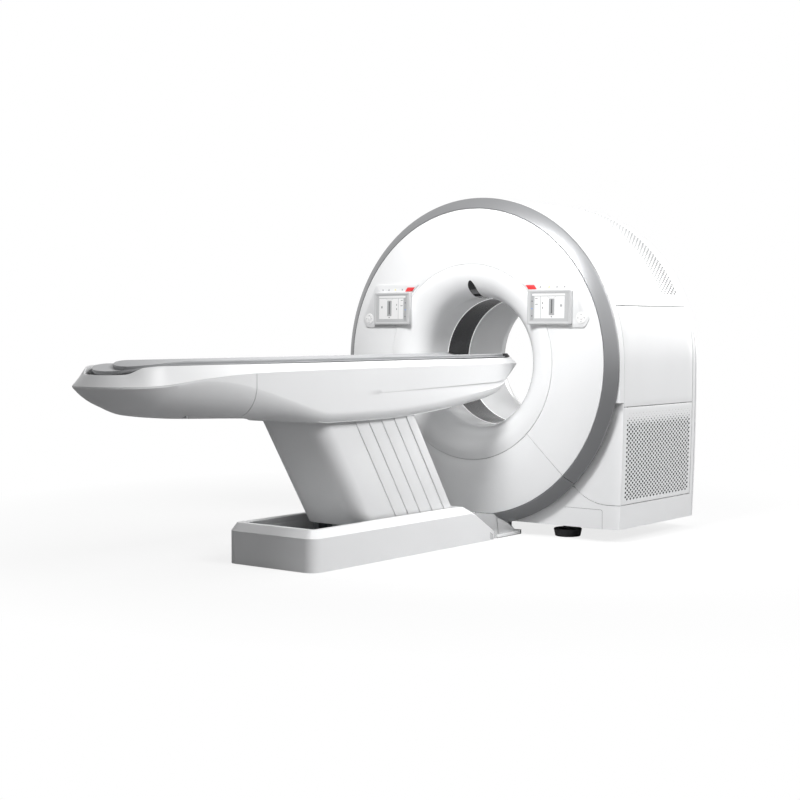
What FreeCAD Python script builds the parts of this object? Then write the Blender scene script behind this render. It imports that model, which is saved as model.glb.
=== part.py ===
import FreeCAD, Part
import math
import os
import Sketcher

# A computed tomography scanner: a ring-shaped gantry with a rotor that spins inside its covers, and a
# patient table whose top rides on a leaning parallelogram lift and carries a sliding cradle.
#
# Row frame: +Z up, +Y from the table into the gantry, origin on the floor at the centre of the gantry's
# four anchor holes.  Gantry frame, used by most pieces: the same directions, with its origin where the
# bore's axis meets the plane of the trim ring's rim.  Setbacks towards the table are -Y there.

SIZES = [
    # overall gantry
    ("ring_clear", 38, "trim ring's rim above the floor"),
    ("ring_setback", 425, "trim ring's rim to the centre of the anchor holes, along Y"),
    ("gantry_radius", 887, "arch of the covers and the trim ring's rim"),
    ("side_radius", 17000, "large radius of the covers' sides below the bore axis"),
    ("cover_clear", 67, "covers' bottom edge above the floor"),
    ("gantry_depth", 900, "trim ring's rim to the back of the rear cover"),
    ("cover_wall", 6, "wall of the moulded covers"),
    ("seam", 3, "visible gap between neighbouring covers"),
    ("seat", 0.3, "gap between a piece and what carries it"),
    # trim ring and front face
    ("ring_width", 60, "radial width of the trim ring's slope"),
    ("ring_slope", 47, "how far the trim ring's inner edge stands in front of its rim"),
    ("ring_wall", 7, "thickness of the trim ring"),
    ("ring_rim", 16, "depth of the trim ring's rim"),
    ("ring_lip", 2, "how far the front cover lies behind the trim ring's inner edge"),
    ("sector_gap", 0.2, "degrees of gap at each end of the lower sector"),
    ("lower_sector", 90, "degrees of ring and front cover that come off at the bottom"),
    ("dish_width", 359, "trim ring's rim to the seam between front cover and bore flare"),
    ("dish_rise", 17, "how far the flare seam stands in front of the ring's inner edge"),
    ("front_wall", 6, "wall of the front cover and flare"),
    ("flare_radius", 140, "rounding of the front flare into the bore"),
    ("laser_width", 50, "width of the dark laser window at the top of the flare"),
    ("laser_head", 55, "ring plane to the laser window's rounded head, towards the table"),
    ("laser_end", 205, "ring plane to the laser window's end in the bore"),
    ("laser_gap", 0.2, "gap between the laser window and the flare"),
    ("laser_wall", 1, "thickness of the laser window"),
    # bore
    ("bore_radius", 350, "inner radius of the bore"),
    ("window_start", 223, "ring plane to the scan window"),
    ("window_length", 202, "length of the scan window along the bore"),
    ("window_wall", 2, "thickness of the scan window"),
    ("band_length", 6, "length of each bright ring beside the window"),
    ("band_wall", 6, "thickness of each bright ring"),
    ("liner_back", 142, "rear cover's back to the end of the straight bore"),
    ("rear_flare", 140, "radius of the rear flare"),
    ("rear_round", 45, "rounding of the rear cover's edge"),
    ("rear_cover_depth", 47, "depth of the rear cover's rim"),
    # side covers
    ("panel_front", 65, "ring plane to the front edge of the side panels"),
    ("panel_back", 85, "rear cover's back to the rear edge of the side panels"),
    ("panel_top", 298, "top of the side panels above the bore axis"),
    ("panel_low", 222, "bottom of the side panels below the bore axis"),
    ("skirt_drop", 733, "top of the skirt below the bore axis"),
    ("corner_width", 76, "sideways size of the soft front corner"),
    ("corner_depth", 16, "front-to-back size of the soft front corner"),
    ("front_plate", 45, "ring plane to the flat lower front"),
    ("skirt_round", 271, "radius of the skirt's seam where it rises to the ring"),
    ("corner_top", 200, "top of the front corner covers below the bore axis"),
    ("skirt_rise_in", 283, "gantry's side to where the skirt's seam meets the ring"),
    ("skirt_flat_in", 87, "gantry's side to where the skirt's seam turns level"),
    ("behind_ring", 47, "how far the lower front reaches in behind the trim ring"),
    # vent grilles
    ("vent_margin", 28, "border of a grille around its holes"),
    ("vent_pitch_y", 100, "spacing of the holes along the gantry"),
    ("vent_pitch_z", 62, "spacing of the holes up the side"),
    ("vent_hole_y", 52, "length of a hole"),
    ("vent_hole_z", 36, "height of a hole"),
    ("band_far", 308, "rear cover's back to the front of the arch's vent band"),
    ("band_near", 112, "rear cover's back to the rear of the arch's vent band"),
    ("dome_vent_low", 24, "degrees above level where the vent band starts"),
    ("dome_vent_rows", 12, "slots in the vent band over the arch"),
    ("dome_slot", 5, "degrees of arch that a slot takes"),
    # hoops and base frame
    ("hoop_width", 40, "radial width of the hoops that carry the covers"),
    ("hoop_depth", 18, "thickness of the hoops"),
    ("hoop_front", 84, "ring plane to the front hoop"),
    ("hoop_back", 140, "rear cover's back to the rear hoop"),
    ("anchor_x", 1000, "spacing of the anchor holes across"),
    ("anchor_y", 550, "spacing of the anchor holes front to back"),
    ("anchor_hole", 9, "radius of the anchor holes"),
    ("foot_radius", 67, "radius of a levelling foot at the floor"),
    ("foot_top", 76, "radius of a levelling foot at its top"),
    ("foot_height", 42, "height of a levelling foot's disc"),
    ("screw_radius", 24, "radius of a foot's hollow levelling screw"),
    ("screw_height", 165, "top of the levelling screw above the floor"),
    ("beam_bottom", 70, "underside of the base frame above the floor"),
    ("beam_height", 75, "height of the base frame's beams"),
    ("beam_width", 150, "width of the base frame's beams"),
    ("beam_inset", 49, "gantry's side to the end of the cross beams"),
    ("dock_half", 180, "half the width of the plate that ties the table's base to the gantry"),
    ("dock_wall", 15, "how far that plate reaches under the front beam"),
    # stator, bearing and rotor
    ("stator_back", 260, "rear cover's back to the stator plate"),
    ("stator_wall", 30, "thickness of the stator plate"),
    ("stator_radius", 760, "outer radius of the stator plate"),
    ("stator_foot", 700, "half the width of the stator plate's foot"),
    ("stator_bore", 420, "radius of the hole in the stator plate"),
    ("race_radius", 455, "radius where the bearing's races meet"),
    ("race_gap", 0.05, "running clearance of the bearing"),
    ("race_wall", 22, "thickness of each bearing race"),
    ("race_length", 44, "length of the bearing"),
    ("rotor_radius", 735, "outer radius of the rotor drum"),
    ("rotor_bore", 405, "inner radius of the rotor drum"),
    ("rotor_plate", 24, "thickness of the rotor's plate"),
    ("rotor_rim", 200, "length of the rotor's rim along the bore"),
    ("rotor_rim_wall", 16, "thickness of the rotor's rim"),
    ("rotor_gap", 8, "gap between the rotor and the slip ring's brushes"),
    ("scan_plane", 325, "ring plane to the plane of the beam"),
    ("tube_radius", 92, "radius of the x-ray tube's housing"),
    ("tube_length", 290, "length of the x-ray tube's housing"),
    ("tube_orbit", 590, "bore axis to the x-ray tube's axis"),
    ("detector_radius", 560, "bore axis to the detector's face"),
    ("detector_wall", 70, "depth of the detector"),
    ("detector_sector", 56, "degrees of arc that the detector spans"),
    ("detector_length", 150, "length of the detector along the bore"),
    ("collimator_half", 110, "half the width of the collimator"),
    ("collimator_depth", 140, "length of the collimator along the bore"),
    ("collimator_low", 402, "bore axis to the collimator's lower face"),
    ("module_depth", 170, "depth of the boxes on the rotor, along the bore"),
    ("module_near", 440, "bore axis to the near side of those boxes"),
    ("module_far", 680, "bore axis to the far side of those boxes"),
    ("module_half", 150, "half the height of those boxes"),
    ("belt_width", 34, "width of the drive belt"),
    ("belt_wall", 4, "thickness of the drive belt"),
    ("pulley_radius", 55, "radius of the motor's pulley"),
    ("pulley_angle", 47, "degrees below level where the pulley sits"),
    ("pulley_orbit", 806, "bore axis to the pulley's axis"),
    ("motor_radius", 62, "radius of the drive motor"),
    # control pads
    ("pad_in_rim", 342, "trim ring's rim to the middle of a control pad, across"),
    ("pad_z", 305, "middle of a control pad above the bore axis"),
    ("pad_wall", 4, "thickness of a control pad"),
    ("pad_half", 119, "half the height of a pad"),
    ("pad_in", 206, "pad's middle to its inner upper corner"),
    ("pad_out", 108, "pad's middle to its outer upper corner"),
    ("pad_point", 204, "pad's middle to its outermost corner"),
    ("pad_point_drop", 69, "how far that corner lies below the pad's middle"),
    ("pad_low_out", 175, "pad's middle to its outer lower corner"),
    ("pad_low_in", 37, "pad's middle to its inner lower corner"),
    ("pad_clear", 13, "gap between a pad and the flare's seam"),
    ("tablet_in", 157, "pad's middle to the display's inner edge"),
    ("tablet_drop", 104, "pad's middle to the display's lower edge"),
    ("tablet_width", 261, "width of a touch display"),
    ("tablet_height", 180, "height of a touch display"),
    ("tablet_depth", 18, "depth of a touch display"),
    ("tablet_bezel", 15, "border of a display around its glass"),
    ("tablet_round", 6, "corner radius of a display"),
    ("glass_recess", 0.6, "how deep the display's glass lies"),
    ("glass_wall", 3, "thickness of the display's glass"),
    ("key_height", 2.5, "how far a key stands out"),
    ("key_travel", 1.5, "how far a key can be pressed"),
    ("key_gap", 0.2, "gap around a key"),
    ("stop_in", 178, "pad's middle to the stop key's inner upper corner"),
    ("stop_rise", 81, "height of the stop key's lower edge above the pad's middle"),
    ("stop_width", 51, "width of the red stop key"),
    ("stop_height", 22, "height of the red stop key"),
    ("stop_slant", 17, "sideways lean of the red stop key"),
    ("jog_out", 155, "pad's middle to the middle of the round key pad"),
    ("jog_drop", 70, "how far the round key pad lies below the pad's middle"),
    ("jog_radius", 30, "radius of the round key pad"),
    ("jog_height", 2, "how far the round key pad stands out"),
    ("jog_key_radius", 9, "radius of the key in its middle"),
    # patient table: base
    ("base_half", 275, "half the width of the table's base"),
    ("base_start", 1650, "ring plane to the far end of the base"),
    ("base_slope_top", 462, "ring plane to the top of the base's front slope"),
    ("base_slope_foot", 178, "ring plane to the foot of the base's front slope"),
    ("base_slope_rise", 20, "foot of the base's front slope above the floor"),
    ("base_top", 192, "top of the base above the floor"),
    ("base_wall", 6, "wall of the base cover"),
    ("base_round", 60, "corner radius of the base in plan"),
    ("rim_width", 28, "width of the base's chamfered rim"),
    ("rim_height", 36, "height of the base's chamfered rim"),
    ("trough_start", 1592, "ring plane to the far end of the trough"),
    ("trough_half", 222, "half the width of the base's opening"),
    ("ramp_end", 1290, "ring plane to the lower end of the trough's ramp"),
    ("ramp_low", 79, "height of the ramp's lower end above the floor"),
    ("opening_front", 478, "ring plane to the near end of the base's opening"),
    ("ramp_wall", 3, "thickness of the trough's ramp"),
    ("floor_plate", 12, "thickness of the base's floor plate"),
    ("plate_near", 195, "ring plane to the floor plate's near end"),
    ("table_anchor_x", 440, "spacing of the table's anchor holes across"),
    ("table_anchor_y", 1240, "spacing of the table's anchor holes along"),
    ("table_anchor_hole", 7, "radius of the table's anchor holes"),
    ("bridge_half", 262, "half the width of the bridge cover"),
    ("bridge_wall", 4, "wall of the bridge cover"),
    ("sill_height", 19, "height of the white sill under the bridge cover"),
    # patient table: lift
    ("lift_angle", 57, "lean of the links above level, at rest"),
    ("high_pivot", 195.35054, "bore axis to the links' upper pivots"),
    ("low_pivot", 130, "height of the lower pivots above the floor"),
    ("main_pivot", 600, "ring plane to the main link's lower pivot"),
    ("second_pivot", 1040, "ring plane to the second link's lower pivot"),
    ("pivot_radius", 15, "radius of the pivot shafts"),
    ("pivot_clearance", 0.05, "running clearance on the pivot shafts"),
    ("open_clearance", 1, "clearance at the second link's upper pivot"),
    ("arm_half", 45, "half the depth of a link's arm"),
    ("arm_wall", 30, "thickness of a link's arm"),
    ("main_arm_x", 120, "inner face of the main link's arms from the middle"),
    ("second_arm_x", 70, "inner face of the second link's arms from the middle"),
    ("cross_tube", 28, "radius of the tube that joins a link's arms"),
    ("rail_x", 158, "inner face of the base's side rails from the middle"),
    ("rail_wall", 28, "thickness of the base's side rails"),
    ("rail_end", 80, "how far the side rails reach beyond the pivots"),
    ("gear_half", 60, "half the width of the lift's gear case"),
    ("gear_depth", 110, "depth of the lift's gear case along the table"),
    ("lift_motor", 45, "radius of the lift's motor"),
    ("lift_motor_length", 190, "length of the lift's motor"),
    ("column_front", 1185, "ring plane to the column's far face, at the lower pivots"),
    ("column_rear", 453, "ring plane to the column's near face, at the lower pivots"),
    ("column_wall", 3, "thickness of the column's covers and slats"),
    ("column_half", 196, "half the width of the far column cover"),
    ("shingle_step", 4, "how much further out each following slat lies"),
    ("column_round", 95, "corner radius of the far column cover"),
    ("column_rear_round", 40, "corner radius of the near column cover"),
    ("first_slat", 915, "ring plane to the first slat's edge, at the lower pivots"),
    ("slat_pitch", 94, "visible length of a slat"),
    ("slat_overlap", 15, "how far a slat tucks in beside its neighbour"),
    ("slat_pin", 5, "radius of a slat's hinge pin"),
    ("slat_foot", 25, "how far a slat reaches below its pin"),
    ("cover_low", 160, "lower edge of the column covers above the floor"),
    ("cover_top", 237, "bore axis to the column covers' upper edge"),
    # patient table: hull and cradle
    ("hull_wall", 6, "wall of the table's hull"),
    ("foot_seam", 1990, "ring plane to the seam of the foot-end cover"),
    ("hull_opening_far", 1562, "ring plane to the far end of the hull's opening"),
    ("hull_opening_near", 520, "ring plane to the near end of the hull's opening"),
    ("hull_opening_half", 221, "half the width of the hull's opening"),
    ("spine_x", 150, "inner face of the table's beams from the middle"),
    ("spine_width", 40, "width of the table's beams"),
    ("spine_top", 26, "top of the table's beams below the bore axis"),
    ("spine_height", 66, "height of the table's beams"),
    ("spine_far", 2420, "ring plane to the far end of the beams"),
    ("spine_near", 130, "ring plane to the near end of the beams"),
    ("channel_half", 208, "half the width of the channel in the table's top cover"),
    ("channel_foot", 2662, "ring plane to the rounded foot end of the channel"),
    ("tray_wall", 4, "thickness of the tray's floor"),
    ("tray_seat", 0.3, "gap between the table's beams and the tray on them"),
    ("well_top", 185, "top of the hull's opening below the bore axis"),
    ("recess_floor", 52, "floor of the finger recess below the bore axis"),
    ("recess_end", 2430, "ring plane to the near end of the finger recess"),
    ("lug_gap", 6, "side gap between a link's arm and the lug beside it"),
    ("drive_half", 62, "half the width of the cradle's drive"),
    ("drive_length", 260, "length of the cradle's drive"),
    ("drive_gap", 12, "gap above the cradle's drive"),
    ("post_half", 120, "half the width of the posts that carry the hull"),
    ("post_wall", 8, "thickness of the posts that carry the hull"),
    ("post_gap", 0.8, "gap between those posts and the hull's curved belly"),
    ("cradle_half", 205, "half the width of the cradle"),
    ("cradle_edge", 34, "height of the cradle's edge above the bore axis"),
    ("cradle_dip", 26, "how deep the cradle's top dips in the middle"),
    ("cradle_wall", 15, "thickness of the cradle's lower board"),
    ("cradle_lip", 5, "thickness of the cradle's board at its edge"),
    ("cradle_foot", 2630, "ring plane to the cradle's foot end"),
    ("cradle_head", 30, "how far the cradle's head end reaches into the flare"),
    ("top_half", 190, "half the width of the cradle's top board"),
    ("top_wall", 17, "thickness of the cradle's top board"),
    ("top_foot", 2520, "ring plane to the top board's foot end"),
    ("tip_length", 45, "length of the black tip at the cradle's head end"),
    ("track_x", 160, "middle of the cradle's tracks from the middle of the table"),
    ("track_far", 2390, "ring plane to the far end of the tracks"),
    ("runner_far", 2380, "ring plane to the far end of the runners"),
    ("runner_length", 640, "length of the cradle's runners"),
    ("runner_width", 20, "width of the cradle's runners"),
    ("runner_top", 20, "height of the runners' top in the board, above the bore axis"),
    ("track_height", 10, "height of the rails that the cradle's runners ride on"),
]

# The hull's stations, far end first: setback from the ring plane, half width at the knife edge, height
# of the knife edge, height of the belly, half width of the flat belly, height of the rounding beside
# it, height of the rim's top edge and its half width.  Heights are above the bore axis.
HULL_STATIONS = [
    (2712, 50, -66, -80, 24, 7, -32, 36),
    (2690, 112, -66, -112, 62, 30, -22, 92),
    (2630, 190, -60, -150, 100, 60, -8, 160),
    (2500, 246, -49, -180, 130, 85, 6, 208),
    (2280, 251, -26, -202, 145, 95, 16, 212),
    (1990, 251, -11, -212, 155, 90, 22, 212),
    (1760, 251, -8, -222, 170, 75, 24, 212),
    (1480, 251, -6, -254, 200, 46, 24, 212),
    (1110, 251, -5, -255, 200, 46, 24, 212),
    (700, 251, -5, -238, 195, 50, 24, 212),
    (330, 250, -5, -204, 180, 55, 24, 212),
    (110, 249, -5, -170, 165, 55, 24, 211),
    (55, 247, -5, -124, 160, 45, 24, 210),
    (8, 245, -5, -78, 155, 35, 24, 209),
    (-36, 242, -5, -16, 150, 6, 22, 207),
]
# The bridge cover's top line from the table to the gantry: setback from the ring plane and height
# above the floor.
BRIDGE_LINE = [(372, 157), (201, 135), (173, 116), (60, 71), (8, 33), (-61, 22)]
STATION_FIELDS = ("setback", "half", "edge", "belly", "flat", "bilge", "rim", "rim_half")
SLATS = 4


class Size:
    """A number together with the sheet expression that drives it."""

    def __init__(self, value, text):
        self.value = float(value)
        self.text = text

    def join(self, sign, other, swapped, compute):
        other = size(other)
        left, right = (other, self) if swapped else (self, other)
        return Size(compute(left.value, right.value), f"({left.text} {sign} {right.text})")

    def __add__(self, other):
        return self.join("+", other, False, lambda p, q: p + q)

    def __radd__(self, other):
        return self.join("+", other, True, lambda p, q: p + q)

    def __sub__(self, other):
        return self.join("-", other, False, lambda p, q: p - q)

    def __rsub__(self, other):
        return self.join("-", other, True, lambda p, q: p - q)

    def __mul__(self, other):
        return self.join("*", other, False, lambda p, q: p * q)

    def __rmul__(self, other):
        return self.join("*", other, True, lambda p, q: p * q)

    def __truediv__(self, other):
        return self.join("/", other, False, lambda p, q: p / q)

    def __neg__(self):
        return 0 - self


def size(number):
    """A plain number as a Size, and a Size as itself."""
    if isinstance(number, Size):
        return number
    return Size(number, f"{float(number):.6f}")


def root(number):
    return Size(math.sqrt(number.value), f"sqrt({number.text})")


def arctan(slope):
    return Size(math.degrees(math.atan(slope.value)), f"(atan({slope.text}) / (1 deg))")


def arccos(share):
    return Size(math.degrees(math.acos(share.value)), f"(acos({share.text}) / (1 deg))")


def sine(angle):
    return Size(math.sin(math.radians(angle.value)), f"sin({angle.text})")


def cosine(angle):
    return Size(math.cos(math.radians(angle.value)), f"cos({angle.text})")


class Sheet:
    """The spreadsheet of driving sizes; each alias is an attribute that gives a Size."""

    def __init__(self, doc):
        self.cells = doc.addObject("Spreadsheet::Sheet", "sizes")
        self.row = 0
        for alias, value, meaning in SIZES:
            self.add(alias, value, meaning)
        for number, station in enumerate(HULL_STATIONS):
            for field, value in zip(STATION_FIELDS, station):
                self.add(f"hull_{field}_{number}", value, f"{field} of hull station {number}")
        for number, (setback, height) in enumerate(BRIDGE_LINE):
            self.add(f"bridge_setback_{number}", setback, f"setback of bridge corner {number}")
            self.add(f"bridge_height_{number}", height, f"height of bridge corner {number}")
        doc.recompute()

    def add(self, alias, value, meaning):
        self.row += 1
        self.cells.set(f"A{self.row}", str(value))
        self.cells.set(f"B{self.row}", meaning)
        self.cells.setAlias(f"A{self.row}", alias)
        setattr(self, alias, Size(value, f"sizes.{alias}"))


DOC = FreeCAD.newDocument("ct_scanner")
S = Sheet(DOC)
NODES = {}
HALF_TURN = 180

# Sizes that follow the gantry's radius, its depth or the height of the bore.
S.bore_height = S.gantry_radius + S.ring_clear
S.cover_drop = S.bore_height - S.cover_clear
S.dish_inner = S.gantry_radius - S.dish_width
S.skirt_rise_x = S.gantry_radius - S.skirt_rise_in
S.skirt_flat_x = S.gantry_radius - S.skirt_flat_in
S.beam_half = S.gantry_radius - S.beam_inset
S.pad_x = S.gantry_radius - S.pad_in_rim
S.liner_end = S.gantry_depth - S.liner_back
S.panel_rear = S.gantry_depth - S.panel_back
S.hoop_rear = S.gantry_depth - S.hoop_back
S.stator_plane = S.gantry_depth - S.stator_back
S.vent_front = S.gantry_depth - S.band_far
S.vent_rear = S.gantry_depth - S.band_near
S.cover_high = S.bore_height - S.cover_top
S.link_rise = S.bore_height - S.high_pivot - S.low_pivot
S.link_length = S.link_rise / sine(S.lift_angle)

# The gantry frame's origin in the row frame.
GANTRY = (size(0), -S.ring_setback, S.bore_height)
FAR = size(2000)


def bind(obj, path, number):
    obj.setExpression(path, size(number).text)


def place(obj, at=GANTRY, turn=None):
    """Put an object at a bound position, turned by a bound angle about an axis."""
    axis, angle = turn or ((0, 0, 1), size(0))
    obj.Placement = FreeCAD.Placement(
        FreeCAD.Vector(*[size(p).value for p in at]),
        FreeCAD.Rotation(FreeCAD.Vector(*axis), size(angle).value),
    )
    for letter, position in zip("xyz", at):
        bind(obj, f"Placement.Base.{letter}", position)
    if turn:
        bind(obj, "Placement.Rotation.Angle", angle)


def keep(obj, label):
    """Make an object a node of the part."""
    obj.Label = label
    NODES[label] = obj
    return obj


def arc_centre(start, end, radius):
    """Centre of the short arc from start to end; a positive radius turns left."""
    du, dv = end[0] - start[0], end[1] - start[1]
    chord = math.hypot(du, dv)
    height = math.sqrt(max(radius * radius - chord * chord / 4, 0))
    side = 1 if radius > 0 else -1
    return (
        (start[0] + end[0]) / 2 - side * dv / chord * height,
        (start[1] + end[1]) / 2 + side * du / chord * height,
    )


class Drawing:
    """Fills a sketch with closed outlines whose corners and radii are bound to the sheet."""

    def __init__(self, sketch):
        self.sketch = sketch

    def limit(self, kind, *target):
        *where, number = target
        index = self.sketch.addConstraint(Sketcher.Constraint(kind, *where, size(number).value))
        bind(self.sketch, f"Constraints[{index}]", number)

    def pin(self, curve, point, corner):
        self.limit("DistanceX", -1, 1, curve, point, corner[0])
        self.limit("DistanceY", -1, 1, curve, point, corner[1])

    def circle(self, u, v, radius):
        centre = FreeCAD.Vector(size(u).value, size(v).value, 0)
        up = FreeCAD.Vector(0, 0, 1)
        curve = self.sketch.addGeometry(Part.Circle(centre, up, size(radius).value), False)
        self.pin(curve, 3, (u, v))
        self.limit("Radius", curve, radius)

    def outline(self, corners):
        """A corner is (u, v), or (u, v, radius) where an arc leads to it."""
        points = [(size(c[0]).value, size(c[1]).value) for c in corners]
        ends = []
        for number, corner in enumerate(corners):
            start, end = points[number - 1], points[number]
            if len(corner) == 2:
                line = Part.LineSegment(FreeCAD.Vector(*start, 0), FreeCAD.Vector(*end, 0))
                curve = self.sketch.addGeometry(line, False)
                ends.append((curve, 1, 2))
                continue
            radius = size(corner[2]).value
            centre = FreeCAD.Vector(*arc_centre(start, end, radius), 0)
            first, last = (start, end) if radius > 0 else (end, start)
            circle = Part.Circle(centre, FreeCAD.Vector(0, 0, 1), abs(radius))
            angles = [math.atan2(p[1] - centre.y, p[0] - centre.x) for p in (first, last)]
            curve = self.sketch.addGeometry(Part.ArcOfCircle(circle, *angles), False)
            ends.append((curve, 1, 2) if radius > 0 else (curve, 2, 1))
            self.limit("Radius", curve, corner[2] if radius > 0 else -size(corner[2]))
        for number, corner in enumerate(corners):
            here, after = ends[number], ends[(number + 1) % len(corners)]
            meet = Sketcher.Constraint("Coincident", here[0], here[2], after[0], after[1])
            self.sketch.addConstraint(meet)
            self.pin(here[0], here[2], corner)


class Piece:
    """A PartDesign body, with a short call for each kind of feature that the pieces are made of."""

    # the axis that a sketch plane faces, and whether its normal points against that axis
    PLANES = {"XY": ("Z", False), "XZ": ("Y", True), "YZ": ("X", False)}

    def __init__(self, name, at=GANTRY, turn=None):
        self.name = name
        self.body = DOC.addObject("PartDesign::Body", name)
        place(self.body, at, turn)

    def origin(self, role):
        return next(o for o in self.body.Origin.OriginFeatures if o.Role == role)

    def sketch(self, plane, start, loops):
        backwards = self.PLANES[plane][1]
        name = f"{self.name}_outline"
        sketch = self.body.newObject("Sketcher::SketchObject", name)
        sketch.AttachmentSupport = [(self.origin(f"{plane}_Plane"), "")]
        sketch.MapMode = "FlatFace"
        offset = -size(start) if backwards else size(start)
        sketch.AttachmentOffset = FreeCAD.Placement(
            FreeCAD.Vector(0, 0, offset.value), FreeCAD.Rotation()
        )
        bind(sketch, "AttachmentOffset.Base.z", offset)
        drawing = Drawing(sketch)
        for loop in loops:
            if loop[0] == "circle":
                drawing.circle(*loop[1:])
            else:
                drawing.outline(loop)
        return sketch

    def pad(self, plane, start, length, *loops, lean=None):
        """Material from start to start + length along the axis that the plane faces."""
        pad = self.body.newObject("PartDesign::Pad", f"{self.name}_pad")
        pad.Profile = self.sketch(plane, start, loops)
        pad.Length = size(length).value
        bind(pad, "Length", length)
        pad.Reversed = self.PLANES[plane][1]
        if lean:
            pad.UseCustomVector = True
            pad.Direction = FreeCAD.Vector(*[size(p).value for p in lean])
            for letter, part in zip("xyz", lean):
                bind(pad, f"Direction.{letter}", part)
            pad.AlongSketchNormal = True
        return pad

    def pocket(self, plane, start, length, *loops):
        """Material taken away from start to start + length."""
        before = self.volume()
        pocket = self.body.newObject("PartDesign::Pocket", f"{self.name}_pocket")
        pocket.Profile = self.sketch(plane, start, loops)
        pocket.Length = size(length).value
        bind(pocket, "Length", length)
        pocket.Reversed = not self.PLANES[plane][1]
        if not self.volume() < before:
            raise RuntimeError(f"a pocket of {self.name} cuts nothing")
        return pocket

    def revolve(self, profile, angle=360):
        """A (y, radius) profile turned about the bore's axis, evenly to both sides of it."""
        turned = self.body.newObject("PartDesign::Revolution", f"{self.name}_turned")
        turned.Profile = self.sketch("YZ", 0, [profile])
        turned.ReferenceAxis = (self.origin("Y_Axis"), [""])
        turned.Midplane = size(angle).value < 360
        turned.Angle = size(angle).value
        bind(turned, "Angle", angle)
        return turned

    def edges(self, chosen):
        DOC.recompute()
        found = enumerate(self.body.Tip.Shape.Edges, 1)
        return [f"Edge{number}" for number, edge in found if chosen(edge)]

    def fillet(self, radius, chosen):
        names = self.edges(chosen)
        base = self.body.Tip
        fillet = self.body.newObject("PartDesign::Fillet", f"{self.name}_fillet")
        fillet.Base = (base, names)
        fillet.Radius = size(radius).value
        bind(fillet, "Radius", radius)
        return fillet

    def chamfer(self, near, across, chosen):
        names = self.edges(chosen)
        base = self.body.Tip
        chamfer = self.body.newObject("PartDesign::Chamfer", f"{self.name}_chamfer")
        chamfer.Base = (base, names)
        chamfer.ChamferType = "Two distances"
        chamfer.Size = size(near).value
        chamfer.Size2 = size(across).value
        bind(chamfer, "Size", near)
        bind(chamfer, "Size2", across)
        return chamfer

    def loft(self, plane, sections, kind="AdditiveLoft", ruled=False):
        """Material through a list of (start, loop) sections."""
        sketches = [self.sketch(plane, start, [loop]) for start, loop in sections]
        loft = self.body.newObject(f"PartDesign::{kind}", f"{self.name}_loft")
        loft.Profile = sketches[0]
        loft.Sections = sketches[1:]
        loft.Ruled = ruled
        return loft

    def volume(self):
        DOC.recompute()
        return self.body.Shape.Volume

    def done(self):
        return keep(self.body, self.name)


def rectangle(u0, v0, u1, v1):
    return [(u0, v0), (u1, v0), (u1, v1), (u0, v1)]


def rounded(u0, v0, u1, v1, radius):
    """A rectangle with rounded corners."""
    return [
        (u0 + radius, v0, radius),
        (u1 - radius, v0),
        (u1, v0 + radius, radius),
        (u1, v1 - radius),
        (u1 - radius, v1, radius),
        (u0 + radius, v1),
        (u0, v1 - radius, radius),
        (u0, v0 + radius),
    ]


def box(name, x0, y0, z0, x1, y1, z1, at=GANTRY):
    """A Part box between two corners given in the frame at."""
    block = DOC.addObject("Part::Box", name)
    lows, highs = (x0, y0, z0), (x1, y1, z1)
    for side, low, high in zip(("Length", "Width", "Height"), lows, highs):
        setattr(block, side, (size(high) - low).value)
        bind(block, side, size(high) - low)
    place(block, [size(a) + size(low) for a, low in zip(at, lows)])
    return block


def tube_along(name, radius, length, start, axis="Y", at=GANTRY):
    """A Part cylinder that starts at a point of the frame at and runs along an axis."""
    turns = {"X": ((0, 1, 0), 90), "Y": ((1, 0, 0), -90), "Z": ((0, 0, 1), 0)}
    cylinder = DOC.addObject("Part::Cylinder", name)
    cylinder.Radius = size(radius).value
    cylinder.Height = size(length).value
    bind(cylinder, "Radius", radius)
    bind(cylinder, "Height", length)
    direction, angle = turns[axis]
    place(cylinder, [size(a) + size(s) for a, s in zip(at, start)], (direction, size(angle)))
    return cylinder


def combine(kind, name, base, tools):
    """A boolean of whole objects: Common or Cut with each tool in turn, or one MultiFuse."""
    if kind == "MultiFuse":
        fused = DOC.addObject("Part::MultiFuse", name)
        fused.Shapes = [base, *tools]
        return fused
    for number, tool in enumerate(tools):
        boolean = DOC.addObject(f"Part::{kind}", f"{name}_{kind.lower()}_{number}")
        boolean.Base = base
        boolean.Tool = tool
        base = boolean
    return base


# ---------------------------------------------------------------- gantry covers

ARCH_END = S.gantry_depth - S.rear_cover_depth - S.seam
LOWER_SECTIONS = 5
BELT_ARCS = 3
HULL_RULED = False
# stations of the hull where the table's frame carries it
POST_STATIONS = (4, 6, 10)


def side_x(inset, drop):
    """How far out the covers' side lies at a depth below the bore axis."""
    radius = S.side_radius - inset
    return S.gantry_radius - inset - (radius - root(radius * radius - drop * drop))


def arch(inset, drop):
    """The gantry's outline seen from the front: a half circle on two nearly upright sides."""
    top = S.gantry_radius - inset
    side = S.side_radius - inset
    foot = side_x(inset, drop)
    return [
        (top, 0, side),
        (0, top, top),
        (-top, 0, top),
        (-foot, -drop, side),
        (foot, -drop),
    ]


def arch_shell():
    """The covers' common form behind the trim ring, open at the front, back and bottom."""
    front = S.ring_rim + S.seat
    piece = Piece("arch_shell")
    piece.pad("XZ", front, ARCH_END - front, arch(size(0), S.cover_drop))
    piece.pocket("XZ", front, ARCH_END - front, arch(S.cover_wall, S.cover_drop + S.seam))
    return piece.body


def solids_cutter(name, shapes, at=GANTRY):
    """A group of plain solids that a boolean takes away."""
    cutter = DOC.addObject("Part::Feature", name)
    cutter.Shape = Part.makeCompound(shapes)
    place(cutter, at)
    return cutter


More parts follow.
